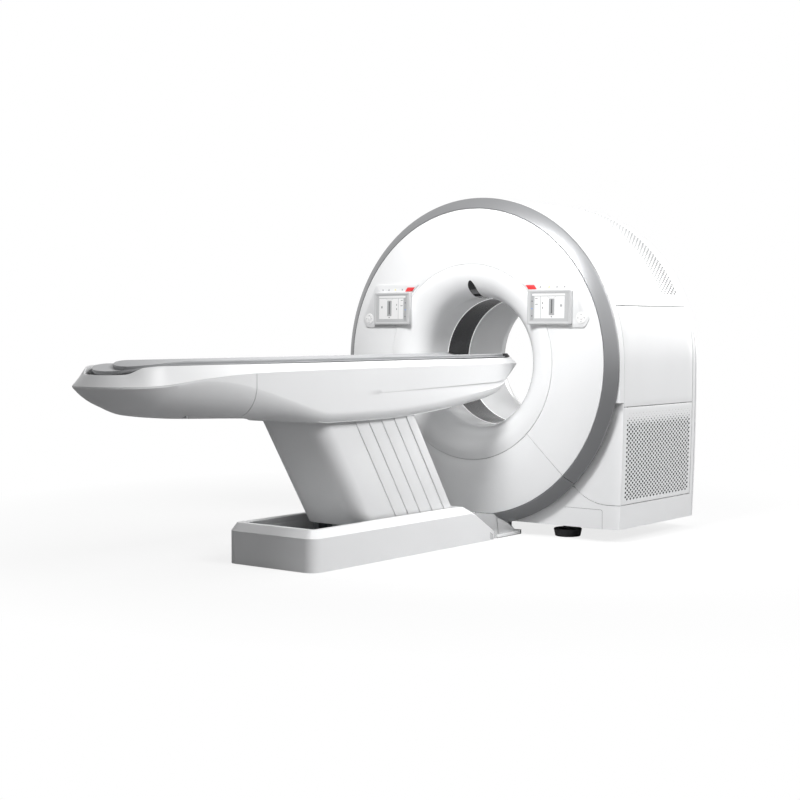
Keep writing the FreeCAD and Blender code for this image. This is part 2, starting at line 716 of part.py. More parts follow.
def arch_slots():
    """Slots along the bore, spread evenly over the arch's vent band."""
    low, turn = S.dome_vent_low.value, S.dome_slot.value
    count = int(S.dome_vent_rows.value)
    step = (HALF_TURN - 2 * low - turn) / (count - 1)
    width = 2 * S.gantry_radius.value * math.sin(math.radians(turn / 2))
    length = S.vent_rear.value - S.vent_front.value
    slots = []
    for number in range(count):
        slot = Part.makeBox(2 * S.cover_wall.value + width, length, width)
        inner = S.gantry_radius.value - 2 * S.cover_wall.value
        slot.translate(FreeCAD.Vector(inner, S.vent_front.value, -width / 2))
        angle = -(low + turn / 2 + number * step)
        slot.rotate(FreeCAD.Vector(0, 0, 0), FreeCAD.Vector(0, 1, 0), angle)
        slots.append(slot)
    return slots


def dome_cover(shell):
    gap = S.seam
    window = box(
        "side_windows",
        -FAR, S.panel_front - gap, -S.cover_drop * 2,
        FAR, S.panel_rear + gap, S.panel_top + gap,
    )
    under_front = box("below_corner", -FAR, -S.seam, -FAR, FAR, S.panel_front, -S.corner_top)
    under_rear = box("below_rear", -FAR, S.panel_rear, -FAR, FAR, S.gantry_depth, -S.skirt_drop)
    slots = solids_cutter("arch_slots", arch_slots())
    keep(combine("Cut", "dome", shell, [window, under_front, under_rear, slots]), "dome_cover")


def side_covers(shell):
    panels, grilles = [], []
    for name, side in (("right", 1), ("left", -1)):
        inner, outer = (size(0), FAR) if side > 0 else (-FAR, size(0))
        panel = box(
            f"panel_space_{name}",
            inner, S.panel_front, -S.panel_low, outer, S.panel_rear, S.panel_top,
        )
        panels.append(combine("Common", f"panel_{name}", shell, [panel]))
        grille = box(
            f"grille_space_{name}",
            inner, S.panel_front, -S.skirt_drop + S.seam,
            outer, S.panel_rear, -S.panel_low - S.seam,
        )
        blank = combine("Common", f"grille_{name}", shell, [grille])
        holes = solids_cutter(f"holes_{name}", grille_holes(side))
        grilles.append(combine("Cut", f"grille_{name}_holed", blank, [holes]))
    keep(combine("MultiFuse", "panels", panels[0], panels[1:]), "side_panels")
    keep(combine("MultiFuse", "grilles", grilles[0], grilles[1:]), "vent_grilles")


def grille_holes(side):
    """Diamond holes in rows that are set off by half a pitch, through one side's grille."""
    low_y = S.panel_front.value + S.vent_margin.value
    high_y = S.panel_rear.value - S.vent_margin.value
    low_z = -S.skirt_drop.value + S.vent_margin.value
    high_z = -S.panel_low.value - S.vent_margin.value
    half_y, half_z = S.vent_hole_y.value / 2, S.vent_hole_z.value / 2
    columns = int((high_y - low_y - 2 * half_y) / S.vent_pitch_y.value)
    rows = int((high_z - low_z - 2 * half_z) / (S.vent_pitch_z.value / 2)) + 1
    start_y = (low_y + high_y - columns * S.vent_pitch_y.value) / 2
    start_z = (low_z + high_z - (rows - 1) * S.vent_pitch_z.value / 2) / 2
    inner = S.gantry_radius.value - S.corner_width.value
    holes = []
    for row in range(rows):
        odd = row % 2
        for column in range(columns + 1 - odd):
            y = start_y + (column + odd / 2) * S.vent_pitch_y.value
            z = start_z + row * S.vent_pitch_z.value / 2
            corners = [(y - half_y, z), (y, z - half_z), (y + half_y, z), (y, z + half_z)]
            ring = [FreeCAD.Vector(side * inner, *corner) for corner in corners]
            face = Part.Face(Part.makePolygon([*ring, ring[0]]))
            holes.append(face.extrude(FreeCAD.Vector(side * 2 * S.corner_width.value, 0, 0)))
    return holes


def lower_plan(drop):
    """The lower covers in plan at a depth: two sides, soft corners and a flat front, hollow."""
    half, wall = side_x(size(0), drop), S.cover_wall
    corner, front, back = half - S.corner_width, S.front_plate, ARCH_END
    turn = S.corner_depth + front
    right = [
        (corner, front),
        (half, turn),
        (half, back),
        (half - wall, back),
        (half - wall, turn + wall),
        (corner, front + wall),
    ]
    return right + [(-x, y) for x, y in right[::-1]]


def lower_shell(name, high):
    """The lower covers' form up to a depth below the bore axis, before its seams are cut."""
    low, last = S.cover_drop, LOWER_SECTIONS - 1
    drops = [low + (high - low) * step / last for step in range(LOWER_SECTIONS)]
    piece = Piece(name)
    piece.loft("XY", [(-drop, lower_plan(drop)) for drop in drops], ruled=True)
    return piece


def skirt_seam(rise):
    """The corners of the skirt's top seam from left to right, lifted by rise."""
    run = S.skirt_flat_x - S.skirt_rise_x
    lift = S.skirt_round - root(S.skirt_round * S.skirt_round - run * run)
    level = -S.skirt_drop + rise
    return [
        (-FAR, level),
        (-S.skirt_flat_x, level),
        (-S.skirt_rise_x, level + lift, S.skirt_round),
        (S.skirt_rise_x, level + lift),
        (S.skirt_flat_x, level, S.skirt_round),
        (FAR, level),
    ]


def lower_covers():
    front, reach = S.front_plate - S.seam, S.corner_depth + S.cover_wall + 3 * S.seam
    inside = ("circle", 0, 0, S.gantry_radius - S.behind_ring)
    edge = S.panel_front - S.seam
    skirt = lower_shell("skirt", S.skirt_rise_x)
    skirt.pocket("XZ", front, reach, [*skirt_seam(size(0)), (FAR, size(0)), (-FAR, size(0))])
    skirt.pocket("YZ", -FAR, 2 * FAR, rectangle(edge, -S.skirt_drop, FAR, size(0)))
    skirt.pocket("XZ", front, reach, inside)
    skirt.done()
    corners = lower_shell("front_corners", S.corner_top + S.seam)
    corners.pocket("YZ", -FAR, 2 * FAR, rectangle(edge, -FAR, FAR, size(0)))
    corners.pocket("XZ", front, reach, [*skirt_seam(S.seam), (FAR, -FAR), (-FAR, -FAR)])
    corners.pocket("XZ", front, reach, inside)
    corners.done()


def rear_cover():
    start = S.gantry_depth - S.rear_cover_depth
    piece = Piece("rear_cover")
    piece.pad("XZ", start, S.rear_cover_depth, arch(size(0), S.cover_drop))
    back = S.gantry_depth.value
    piece.fillet(S.rear_round, lambda e: on_back_rim(e, back))
    inside = S.rear_cover_depth - S.cover_wall
    piece.pocket("XZ", start, inside, arch(S.rear_round, S.cover_drop + S.seam))
    lip = S.rear_cover_depth - S.rear_round + S.cover_wall
    piece.pocket("XZ", start, lip, arch(S.cover_wall, S.cover_drop + S.seam))
    hole = ("circle", 0, 0, S.bore_radius + S.rear_flare + S.seat)
    piece.pocket("XZ", start, 2 * S.rear_cover_depth, hole)
    piece.done()


def on_back_rim(edge, back):
    """Whether an edge is one of the curved ones around the rear cover's back face."""
    box = edge.BoundBox
    flat = box.YLength < S.seat.value and abs(box.YMin - back) < S.seat.value
    return flat and hasattr(edge.Curve, "Radius")


def cover_hoops():
    inset, span = S.cover_wall + S.seat, S.bore_height - S.beam_bottom - S.beam_height - S.seat
    parts = []
    for name, start in (("front", S.hoop_front), ("rear", S.hoop_rear)):
        hoop = Piece(f"hoop_{name}")
        hoop.pad("XZ", start, S.hoop_depth, arch(inset, span))
        inner = arch(inset + S.hoop_width, span + S.seam)
        hoop.pocket("XZ", start, S.hoop_depth, inner)
        parts.append(hoop.body)
    back = S.front_plate + S.cover_wall + S.seat
    out = S.gantry_radius - S.corner_width - 2 * S.cover_wall
    low, high = -S.panel_low - 2 * S.hoop_width, -S.panel_low - S.hoop_width
    for side in (-1, 1):
        for name, reach, start in (("pad", out, back), ("arm", out + S.hoop_width, S.hoop_front)):
            ends = sorted((side * (out - S.hoop_width), side * reach), key=lambda e: e.value)
            span_y = S.hoop_front + S.hoop_depth
            block = box(f"bracket_{name}_{side}", ends[0], start, low, ends[1], span_y, high)
            parts.append(block)
    keep(combine("MultiFuse", "hoops", parts[0], parts[1:]), "cover_hoops")


def gantry_covers():
    shell = arch_shell()
    dome_cover(shell)
    side_covers(shell)
    lower_covers()
    rear_cover()
    cover_hoops()


# ---------------------------------------------------------------- ring, front face and bore

def ring_profile(side):
    """The trim ring's section; side is -1 for the part below the bore axis."""
    rim, inner = S.gantry_radius, S.gantry_radius - S.ring_width
    points = [
        (-S.ring_slope, inner),
        (size(0), rim),
        (S.ring_rim, rim),
        (S.ring_rim, rim - S.ring_wall),
        (S.ring_wall / 2, rim - S.ring_wall),
        (S.ring_wall - S.ring_slope, inner),
    ]
    return [(y, side * r) for y, r in points]


def dish_profile(side):
    """The front cover's section, sloping forward to the flare's seam."""
    outer = S.gantry_radius - S.ring_width - S.seat
    inner = S.dish_inner + S.seat
    back = -S.ring_slope + S.ring_lip
    front = back - S.dish_rise
    points = [(back, outer), (front, inner), (front + S.front_wall, inner)]
    points.append((back + S.front_wall, outer))
    return [(y, side * r) for y, r in points]


def front_face():
    upper = 360 - S.lower_sector - S.sector_gap
    lower = S.lower_sector - S.sector_gap
    for place_name, side, angle in (("upper", 1, upper), ("lower", -1, lower)):
        for name, profile in (("trim_ring", ring_profile), ("front_cover", dish_profile)):
            piece = Piece(f"{name}_{place_name}")
            piece.revolve(profile(side), angle)
            piece.done()


def front_flare():
    front = -S.ring_slope - S.dish_rise
    turn = S.bore_radius + S.flare_radius
    bend, wall = front + S.flare_radius, S.front_wall
    end = S.window_start - S.band_length - S.seat
    flare = Piece("front_flare")
    flare.revolve([
        (front, S.dish_inner),
        (front, turn),
        (bend, S.bore_radius, S.flare_radius),
        (end, S.bore_radius),
        (end, S.bore_radius + wall),
        (bend, S.bore_radius + wall),
        (front + wall, turn, wall - S.flare_radius),
        (front + wall, S.dish_inner),
    ])
    flare.done()
    near, far = S.flare_radius + S.laser_gap, S.flare_radius + S.laser_gap + S.laser_wall
    skin = Piece("laser_skin")
    skin.revolve([
        (bend - far, turn),
        (bend, turn - far, far),
        (S.laser_end + FAR, turn - far),
        (S.laser_end + FAR, turn - near),
        (bend, turn - near),
        (bend - near, turn, -near),
    ], S.lower_sector)
    strip = Piece("laser_strip")
    half = S.laser_width / 2
    head, low = -S.laser_head + half, S.bore_radius - half
    strip.pad("XY", low, S.flare_radius, [
        (-half, head),
        (0, -S.laser_head, half),
        (half, head, half),
        (half, S.laser_end),
        (-half, S.laser_end),
    ])
    keep(combine("Common", "laser", skin.body, [strip.body]), "laser_window")


def sleeve(name, start, end, wall):
    """A plain ring of the bore's wall."""
    piece = Piece(name)
    inner = S.bore_radius
    piece.revolve([(start, inner), (end, inner), (end, inner + wall), (start, inner + wall)])
    return piece


def bore():
    start, end = S.window_start, S.window_start + S.window_length
    sleeve("scan_window", start + S.seat, end - S.seat, S.window_wall).done()
    front = sleeve("band_front", start - S.band_length, start, S.band_wall)
    rear = sleeve("band_rear", end, end + S.band_length, S.band_wall)
    keep(combine("MultiFuse", "bands", front.body, [rear.body]), "window_bands")
    flare_start = S.liner_end
    sleeve("bore_liner", end + S.band_length + S.seat, flare_start - S.seat, S.front_wall).done()
    turn, wall = S.bore_radius + S.rear_flare, S.front_wall
    flare = Piece("rear_flare")
    flare.revolve([
        (flare_start, S.bore_radius),
        (flare_start + S.rear_flare, turn, S.rear_flare),
        (flare_start + S.rear_flare - wall, turn),
        (flare_start, S.bore_radius + wall, wall - S.rear_flare),
    ])
    flare.done()


# ---------------------------------------------------------------- control pads

def pad_frame(side):
    """Origin and turn of a control pad, flat against the sloping front cover."""
    outer = S.gantry_radius - S.ring_width - S.seat
    run = outer - S.dish_inner - S.seat
    reach = root(S.pad_x * S.pad_x + S.pad_z * S.pad_z)
    share = S.dish_rise / run
    front = S.ring_lip - S.ring_slope - share * (outer - reach) - S.seat
    axis = (-S.pad_z.value, 0, side * S.pad_x.value)
    at = (side * S.pad_x, front - S.ring_setback, S.pad_z + S.bore_height)
    return at, (axis, arctan(share))


def mirrored(loop, side):
    """A loop drawn for the right pad, flipped for the left one."""
    if side > 0:
        return loop
    return [(-size(c[0]), c[1], *[-size(r) for r in c[2:]]) for c in loop]


def stop_outline(gap):
    low, high = S.stop_rise - gap, S.stop_rise + S.stop_height + gap
    left, right = -S.stop_in - gap, -S.stop_in + S.stop_width + gap
    return [(left + S.stop_slant, low), (right + S.stop_slant, low), (right, high), (left, high)]


def control_pad(name, side, glasses):
    at, turn = pad_frame(side)
    wall, half = S.pad_wall, S.pad_half
    pad = Piece(f"control_pad_{name}", at, turn)
    outline = [
        (-S.pad_in, half),
        (S.pad_out, half),
        (S.pad_point, -S.pad_point_drop),
        (S.pad_low_out, -half),
        (-S.pad_low_in, -half),
    ]
    outline[0] += (S.dish_inner + S.pad_clear,)
    pad.pad("XZ", -wall, wall, mirrored(outline, side))
    jog = (side * S.jog_out, -S.jog_drop)
    pad.pad("XZ", -wall - S.jog_height, S.jog_height, ("circle", *jog, S.jog_radius))
    pad.pocket("XZ", -wall, wall, mirrored(stop_outline(S.key_gap), side))
    hole = ("circle", *jog, S.jog_key_radius + S.key_gap)
    pad.pocket("XZ", -wall - S.jog_height, wall + S.jog_height, hole)
    pad.done()

    low_x, low_z = -S.tablet_in, -S.tablet_drop
    high_x, high_z = low_x + S.tablet_width, low_z + S.tablet_height
    front = -wall - S.seat - S.tablet_depth
    display = Piece(f"display_{name}", at, turn)
    frame = rounded(low_x, low_z, high_x, high_z, S.tablet_round)
    display.pad("XZ", front, S.tablet_depth, mirrored(frame, side))
    rim = S.tablet_bezel
    opening = rectangle(low_x + rim, low_z + rim, high_x - rim, high_z - rim)
    depth = S.glass_recess + S.glass_wall + S.seat
    display.pocket("XZ", front, depth, mirrored(opening, side))
    display.done()
    rim = S.tablet_bezel + S.key_gap
    pane = rectangle(low_x + rim, low_z + rim, high_x - rim, high_z - rim)
    glass = Piece(f"glass_{name}", at, turn)
    glass.pad("XZ", front + S.glass_recess, S.glass_wall, mirrored(pane, side))
    glasses.append(glass.body)

    stop = Piece(f"stop_key_{name}", at, turn)
    deep = wall - S.key_travel - S.key_gap
    stop.pad("XZ", -wall - S.key_height, deep + S.key_height, mirrored(stop_outline(size(0)), side))
    stop.done()
    key = Piece(f"jog_key_{name}", at, turn)
    face = -wall - S.jog_height - S.key_height
    key.pad("XZ", face, deep + S.jog_height + S.key_height, ("circle", *jog, S.jog_key_radius))
    key.done()


def control_pads():
    glasses = []
    for name, side in (("right", 1), ("left", -1)):
        control_pad(name, side, glasses)
    keep(combine("MultiFuse", "glasses", glasses[0], glasses[1:]), "display_glasses")


# ---------------------------------------------------------------- frame, stator and rotor

FLOOR = -S.bore_height
BEAM_LOW = S.beam_bottom - S.bore_height
BEAM_TOP = BEAM_LOW + S.beam_height
ROTOR_FACE = S.stator_plane - S.race_length - S.rotor_gap - S.rotor_plate


def anchors():
    """The four anchor holes in the gantry frame."""
    half_x, half_y = S.anchor_x / 2, S.anchor_y / 2
    return [(i * half_x, S.ring_setback + j * half_y) for i in (-1, 1) for j in (-1, 1)]


def gantry_frame():
    frame = Piece("gantry_frame")
    half, wide = S.beam_half, S.beam_width / 2
    front = S.ring_setback - S.anchor_y / 2
    rear = S.ring_setback + S.anchor_y / 2
    post = S.anchor_x / 2
    window = rectangle(wide - post, front + wide, post - wide, rear - wide)
    screws = [("circle", x, y, S.screw_radius + S.race_gap) for x, y in anchors()]
    outline = rectangle(-half, front - wide, half, rear + wide)
    frame.pad("XY", BEAM_LOW, S.beam_height, outline, window, *screws)
    notches = [
        rectangle(post + wide, front + wide, FAR, rear - wide),
        rectangle(-FAR, front + wide, -post - wide, rear - wide),
    ]
    frame.pocket("XY", BEAM_LOW, S.beam_height, *notches)
    dock_start = -getattr(S, f"bridge_setback_{len(BRIDGE_LINE) - 1}") + S.seat
    dock = rectangle(-S.dock_half, dock_start, S.dock_half, front - wide + S.dock_wall)
    frame.pad("XY", FLOOR + S.seat, BEAM_LOW - FLOOR - S.seat, dock)
    frame.done()
    feet = []
    for number, (x, y) in enumerate(anchors()):
        foot = Piece(f"foot_{number}", (x, y - S.ring_setback, size(0)))
        low, top, tall = S.foot_radius, S.foot_top, S.foot_height
        base = [("circle", 0, 0, low), ("circle", 0, 0, top)]
        foot.loft("XY", [(size(0), base[0]), (tall, base[1])])
        foot.pad("XY", tall, S.screw_height - tall, ("circle", 0, 0, S.screw_radius))
        foot.pocket("XY", 0, S.screw_height, ("circle", 0, 0, S.anchor_hole))
        feet.append(foot.body)
    keep(combine("MultiFuse", "feet", feet[0], feet[1:]), "levelling_feet")


def stator():
    plate = Piece("stator_plate")
    start, radius, foot = S.stator_plane, S.stator_radius, S.stator_foot
    low = BEAM_TOP + S.seat
    outline = [(radius, 0), (0, radius, radius), (-radius, 0, radius), (-foot, low), (foot, low)]
    plate.pad("XZ", start, S.stator_wall, outline, ("circle", 0, 0, S.stator_bore))
    inner = S.race_radius + S.race_gap / 2
    ring = [("circle", 0, 0, inner + S.race_wall), ("circle", 0, 0, inner)]
    plate.pad("XZ", start - S.race_length, S.race_length, *ring)
    plate.done()


def pulley_centre(side=1):
    across, down = cosine(S.pulley_angle), sine(S.pulley_angle)
    return side * S.pulley_orbit * across, -S.pulley_orbit * down


def drive():
    x, z = pulley_centre()
    edge = ROTOR_FACE + S.rotor_plate - S.rotor_rim
    start = edge + S.rotor_gap
    pulley = Piece("drive_pulley", (x, start - S.ring_setback, z + S.bore_height))
    width = S.belt_width + S.rotor_gap
    pulley.pad("XZ", 0, width, ("circle", 0, 0, S.pulley_radius))
    shaft = 2 * S.rotor_gap
    pulley.pad("XZ", width, shaft, ("circle", 0, 0, S.pivot_radius))
    pulley.done()
    motor = Piece("drive_motor", (x, -S.ring_setback, z + S.bore_height))
    face = start + width + S.rotor_gap
    end = S.stator_plane - S.seat
    motor.pad("XZ", face, end - face, ("circle", 0, 0, S.motor_radius))
    bore = ("circle", 0, 0, S.pivot_radius + S.race_gap)
    motor.pocket("XZ", face, shaft, bore)
    motor.done()
    belt = Piece("drive_belt")
    near = start + S.rotor_gap / 2
    belt.pad("XZ", near, S.belt_width, belt_loop(S.belt_wall), belt_loop(size(0)))
    belt.done()


def belt_loop(out):
    """The belt's run around the rotor and the pulley, a given height above both."""
    gap = S.race_gap + out
    big, small = S.rotor_radius + gap, S.pulley_radius + gap
    swing = arccos((big - small) / S.pulley_orbit)
    x, z = pulley_centre()
    first = swing - S.pulley_angle
    step = (360 - 2 * swing) / BELT_ARCS
    turns = [first + step * number for number in range(BELT_ARCS + 1)]
    loop = [(big * cosine(turn), big * sine(turn), big) for turn in turns]
    loop[0] = loop[0][:2]
    last = turns[-1]
    loop.append((x + small * cosine(last), z + small * sine(last)))
    loop.append((x + small * cosine(first), z + small * sine(first), small))
    return loop


def rotor():
    face, back = ROTOR_FACE, ROTOR_FACE + S.rotor_plate
    out, rim = S.rotor_radius, S.rotor_radius - S.rotor_rim_wall
    race, wall = S.race_radius - S.race_gap / 2, S.race_wall
    race_end = S.stator_plane - S.rotor_gap
    drum = Piece("rotor_drum")
    drum.revolve([
        (back - S.rotor_rim, rim),
        (face, rim),
        (face, S.rotor_bore),
        (back, S.rotor_bore),
        (back, race - wall),
        (race_end, race - wall),
        (race_end, race),
        (back, race),
        (back, out),
        (back - S.rotor_rim, out),
    ])
    drum.done()
    ring = Piece("slip_ring")
    inner, outer = S.bore_radius + S.race_wall, S.rotor_bore - S.seat
    ring.revolve([(face, inner), (back, inner), (back, outer), (face, outer)])
    ring.done()


def rotor_modules():
    back = ROTOR_FACE - S.seat
    keep(
        tube_along(
            "tube", S.tube_radius, S.tube_length,
            (size(0), back - S.tube_length, S.tube_orbit),
        ),
        "xray_tube",
    )
    top = S.tube_orbit - S.tube_radius - S.seat
    half, deep = S.collimator_half, S.collimator_depth / 2
    plane = S.scan_plane
    block = box("beam_box", -half, plane - deep, S.collimator_low, half, plane + deep, top)
    keep(block, "collimator")
    face, outer = S.detector_radius, S.detector_radius + S.detector_wall
    start, end = plane - S.detector_length / 2, plane + S.detector_length / 2
    arc = Piece("detector_arc")
    arc.revolve([
        (start, -face),
        (end, -face),
        (end, (-face - outer) / 2),
        (back, (-face - outer) / 2),
        (back, -outer),
        (start, -outer),
    ], S.detector_sector)
    arc.done()
    near, far, tall = S.module_near, S.module_far, S.module_half
    for name, label, side in (("hv", "hv_generator", -1), ("cooler", "heat_exchanger", 1)):
        low, high = (near, far) if side > 0 else (-far, -near)
        block = box(name, low, back - S.module_depth, -tall, high, back, tall)
        keep(block, label)


def gantry_inside():
    gantry_frame()
    stator()
    drive()
    rotor()
    rotor_modules()


# ---------------------------------------------------------------- patient table: base

def base_form(name, inset):
    """The table base's closed form, each face moved in by the inset."""
    piece = Piece(name)
    top = S.base_top - S.bore_height - inset
    half, far = S.base_half - inset, inset - S.base_start
    near = -S.base_slope_foot - inset
    outline = rounded(-half, far, half, near, S.base_round - inset)
    piece.pad("XY", FLOOR, S.base_top - inset, outline)
    slope_top = -S.base_slope_top - 2 * inset
    foot = S.base_slope_rise - S.bore_height
    slope = [(slope_top, top), (near, foot), (FAR, foot), (FAR, FAR), (slope_top, FAR)]
    piece.pocket("YZ", -FAR, 2 * FAR, slope)
    piece.chamfer(S.rim_height, S.rim_width, lambda e: on_top_rim(e, top.value))
    return piece


def on_top_rim(edge, level):
    """Whether an edge goes round the base's top face but isn't the one above the slope."""
    box_around = edge.BoundBox
    flat = box_around.ZLength < S.seat.value and abs(box_around.ZMin - level) < S.seat.value
    middle = (box_around.YMin + box_around.YMax) / 2
    return flat and (box_around.XLength < 2 * S.base_round.value or middle < -FAR.value / 2)


def table_base():
    outer = base_form("base_outer", size(0))
    inner = base_form("base_inner", S.base_wall)
    shell = combine("Cut", "base_shell", outer.body, [inner.body])
    top = S.base_top - S.bore_height
    under = top - S.base_wall
    half = S.trough_half
    opening = box(
        "base_opening", -half, -S.trough_start, under - S.base_wall, half, -S.opening_front, FAR,
    )
    cover = combine("Cut", "base_open", shell, [opening])
    ramp = Piece("ramp")
    start, end = -S.trough_start, -S.ramp_end
    low = S.ramp_low - S.bore_height
    deep = S.ramp_wall
    ramp.pad("YZ", -half, 2 * half, [
        (start - 4 * deep, under),
        (start, under),
        (end, low),
        (end, low - deep),
        (start - 4 * deep, under - deep),
    ])
    keep(combine("MultiFuse", "base", cover, [ramp.body]), "table_base_cover")


def slope_height(setback):
    """Height of the base's front slope above the floor at a setback."""
    run = S.base_slope_top - S.base_slope_foot
    fall = S.base_top - S.base_slope_rise
    return S.base_slope_rise + (setback - S.base_slope_foot) * fall / run


def bridge():
    half, wall = S.bridge_half, S.bridge_wall
    line = [
        (-getattr(S, f"bridge_setback_{n}"), getattr(S, f"bridge_height_{n}") - S.bore_height)
        for n in range(len(BRIDGE_LINE))
    ]
    sill = S.sill_height - S.bore_height
    start = S.bridge_setback_0
    foot = slope_height(start) - S.bore_height + 2 * S.seat
    near = -S.base_slope_foot + 2 * S.seat
    low = sill + S.seat
    toe = S.base_slope_rise - S.bore_height + 2 * S.seat
    cover = Piece("bridge_cover")
    outline = [*line, (line[-1][0], low), (near, low), (near, toe), (-start, foot)]
    cover.pad("YZ", -half, 2 * half, outline)
    inner = [(y, z - wall) for y, z in line[1:-1]]
    first = (-start + wall, line[0][1] - wall)
    last = (line[-1][0] - 2 * wall, low)
    cover.pocket("YZ", wall - half, 2 * half - 2 * wall, [first, *inner, last, (first[0], low)])
    cover.done()
    near_end = -S.base_slope_foot + S.seat
    keep(
        box("sill", -half, near_end, FLOOR, half, line[-1][0], sill),
        "bridge_sill",
    )


def tangent():
    return sine(S.lift_angle) / cosine(S.lift_angle)


def slat_pivot(number):
    """Setback of a slat's lower pivot: the middle of its own width."""
    near = S.first_slat - S.slat_pitch * number
    return near - (S.slat_pitch + S.slat_overlap) / 2


def slat_face(number):
    """Inner face of a slat's plates from the middle."""
    return S.column_half + S.shingle_step * number - S.column_wall


def table_base_frame():
    plate = Piece("floor_plate")
    inset = S.base_wall + S.seat
    side, end = S.base_half - inset, S.base_start - inset
    plan = rounded(-side, -end, side, -S.plate_near, S.base_round - inset)
    plate.pad("XY", FLOOR, S.floor_plate, plan)
    holes = []
    middle = (S.base_start + S.base_slope_foot) / 2
    for i in (-1, 1):
        for j in (-1, 1):
            at = (i * S.table_anchor_x / 2, j * S.table_anchor_y / 2 - middle, FLOOR)
            name = f"anchor_{i}_{j}"
            holes.append(tube_along(name, S.table_anchor_hole, S.floor_plate, at, "Z"))
    parts = [combine("Cut", "floor_drilled", plate.body, holes)]
    pivot = S.low_pivot - S.bore_height
    far = S.second_pivot + S.rail_end
    near = S.main_pivot - S.rail_end
    inner, outer = S.rail_x, S.rail_x + S.rail_wall
    for side in (-1, 1):
        ends = (inner, outer) if side > 0 else (-outer, -inner)
        parts.append(box(
            f"rail_{side}",
            ends[0], -far, FLOOR + S.floor_plate, ends[1], -near, pivot + S.arm_half,
        ))
        for number in range(1, SLATS + 1):
            reach = slat_face(number) + S.column_wall - inner
            start = inner if side > 0 else -inner - reach
            at = (start, -slat_pivot(number - 1), pivot)
            parts.append(tube_along(f"pin_{number}_{side}", S.slat_pin, reach, at, "X"))
    for name, setback in (("main", S.main_pivot), ("second", S.second_pivot)):
        at = (-outer, -setback, pivot)
        parts.append(tube_along(f"{name}_shaft", S.pivot_radius, 2 * outer, at, "X"))
    keep(combine("MultiFuse", "base_frame", parts[0], parts[1:]), "table_base_frame")


def lift_gearmotor():
    pivot = S.low_pivot - S.bore_height
    half, deep = S.gear_half, S.gear_depth / 2
    low = FLOOR + S.floor_plate + S.seat
    case = box(
        "gear_case",
        -half, -S.main_pivot - deep, low, half, deep - S.main_pivot, pivot + deep,
    )
    shaft = tube_along(
        "gear_bore", S.pivot_radius + S.seat, 2 * half, (-half, -S.main_pivot, pivot), "X",
    )
    housing = combine("Cut", "gear_housing", case, [shaft])
    at = (size(0), deep - S.main_pivot - S.seat, low + S.lift_motor)
    motor = tube_along("motor_case", S.lift_motor, S.lift_motor_length, at)
    keep(combine("MultiFuse", "lift_drive", housing, [motor]), "lift_gearmotor")


# ---------------------------------------------------------------- patient table: lift

def lean():
    """Direction of the links: away from the gantry and up."""
    return (size(0), -cosine(S.lift_angle), sine(S.lift_angle))


def leaning(name, low, high, *loops):
    """An oblique prism along the links; the loops are (x, y at the height of the lower pivots)."""
    piece = Piece(name, at=(size(0), -S.ring_setback, S.low_pivot))
    start, end = low - S.low_pivot, high - S.low_pivot
    shift = start / tangent()
    moved = [[(corner[0], corner[1] - shift, *corner[2:]) for corner in loop] for loop in loops]
    piece.pad("XY", start, end - start, *moved, lean=lean())
    return piece


def link_arms(name, inner, far, near, pivot, open_top):
    """A link: two leaning plates with a boss at each pivot, and a tube that joins them."""
    low, high = S.cover_low, S.cover_high
    outer = inner + S.arm_wall
    arms = leaning(
        f"{name}_plates", low, high,
        rectangle(inner, -far, outer, -near), rectangle(-outer, -far, -inner, -near),
    )
    level = S.low_pivot - S.bore_height
    up = level + S.link_length * sine(S.lift_angle)
    along = -pivot - S.link_length * cosine(S.lift_angle)
    parts, holes = [], []
    for end, y, z in (("low", -pivot, level), ("high", along, up)):
        for side in (-1, 1):
            start = inner if side > 0 else -outer
            boss = f"{name}_boss_{end}_{side}"
            parts.append(tube_along(boss, S.arm_half, S.arm_wall, (start, y, z), "X"))
        clear = S.open_clearance if open_top and end == "high" else S.pivot_clearance
        hole = f"{name}_hole_{end}"
        radius = S.pivot_radius + clear
        holes.append(tube_along(hole, radius, 2 * outer, (-outer, y, z), "X"))
    middle = ((along - pivot) / 2, (level + up) / 2)
    tube = tube_along(f"{name}_tube", S.cross_tube, 2 * inner, (-inner, *middle), "X")
    fused = combine("MultiFuse", f"{name}_arms", arms.body, [*parts, tube])
    keep(combine("Cut", name, fused, holes), name)


def column_end(name, half, face, edge, radius, side):
    """One end of the column: a leaning U with rounded corners; side -1 faces the table's foot."""
    wall = S.column_wall
    out, deep = half, half - wall
    turn = side * radius
    outer = [
        (out, -edge),
        (out, -face - turn),
        (out - radius, -face, turn),
        (radius - out, -face),
        (-out, -face - turn, turn),
        (-out, -edge),
    ]
    small = side * (radius - wall)
    inner = [
        (-deep, -edge),
        (-deep, -face - turn),
        (radius - out, -face - side * wall, -small),
        (out - radius, -face - side * wall),
        (deep, -face - turn, -small),
        (deep, -edge),
    ]
    leaning(name, S.cover_low, S.cover_high, [*outer, *inner]).done()


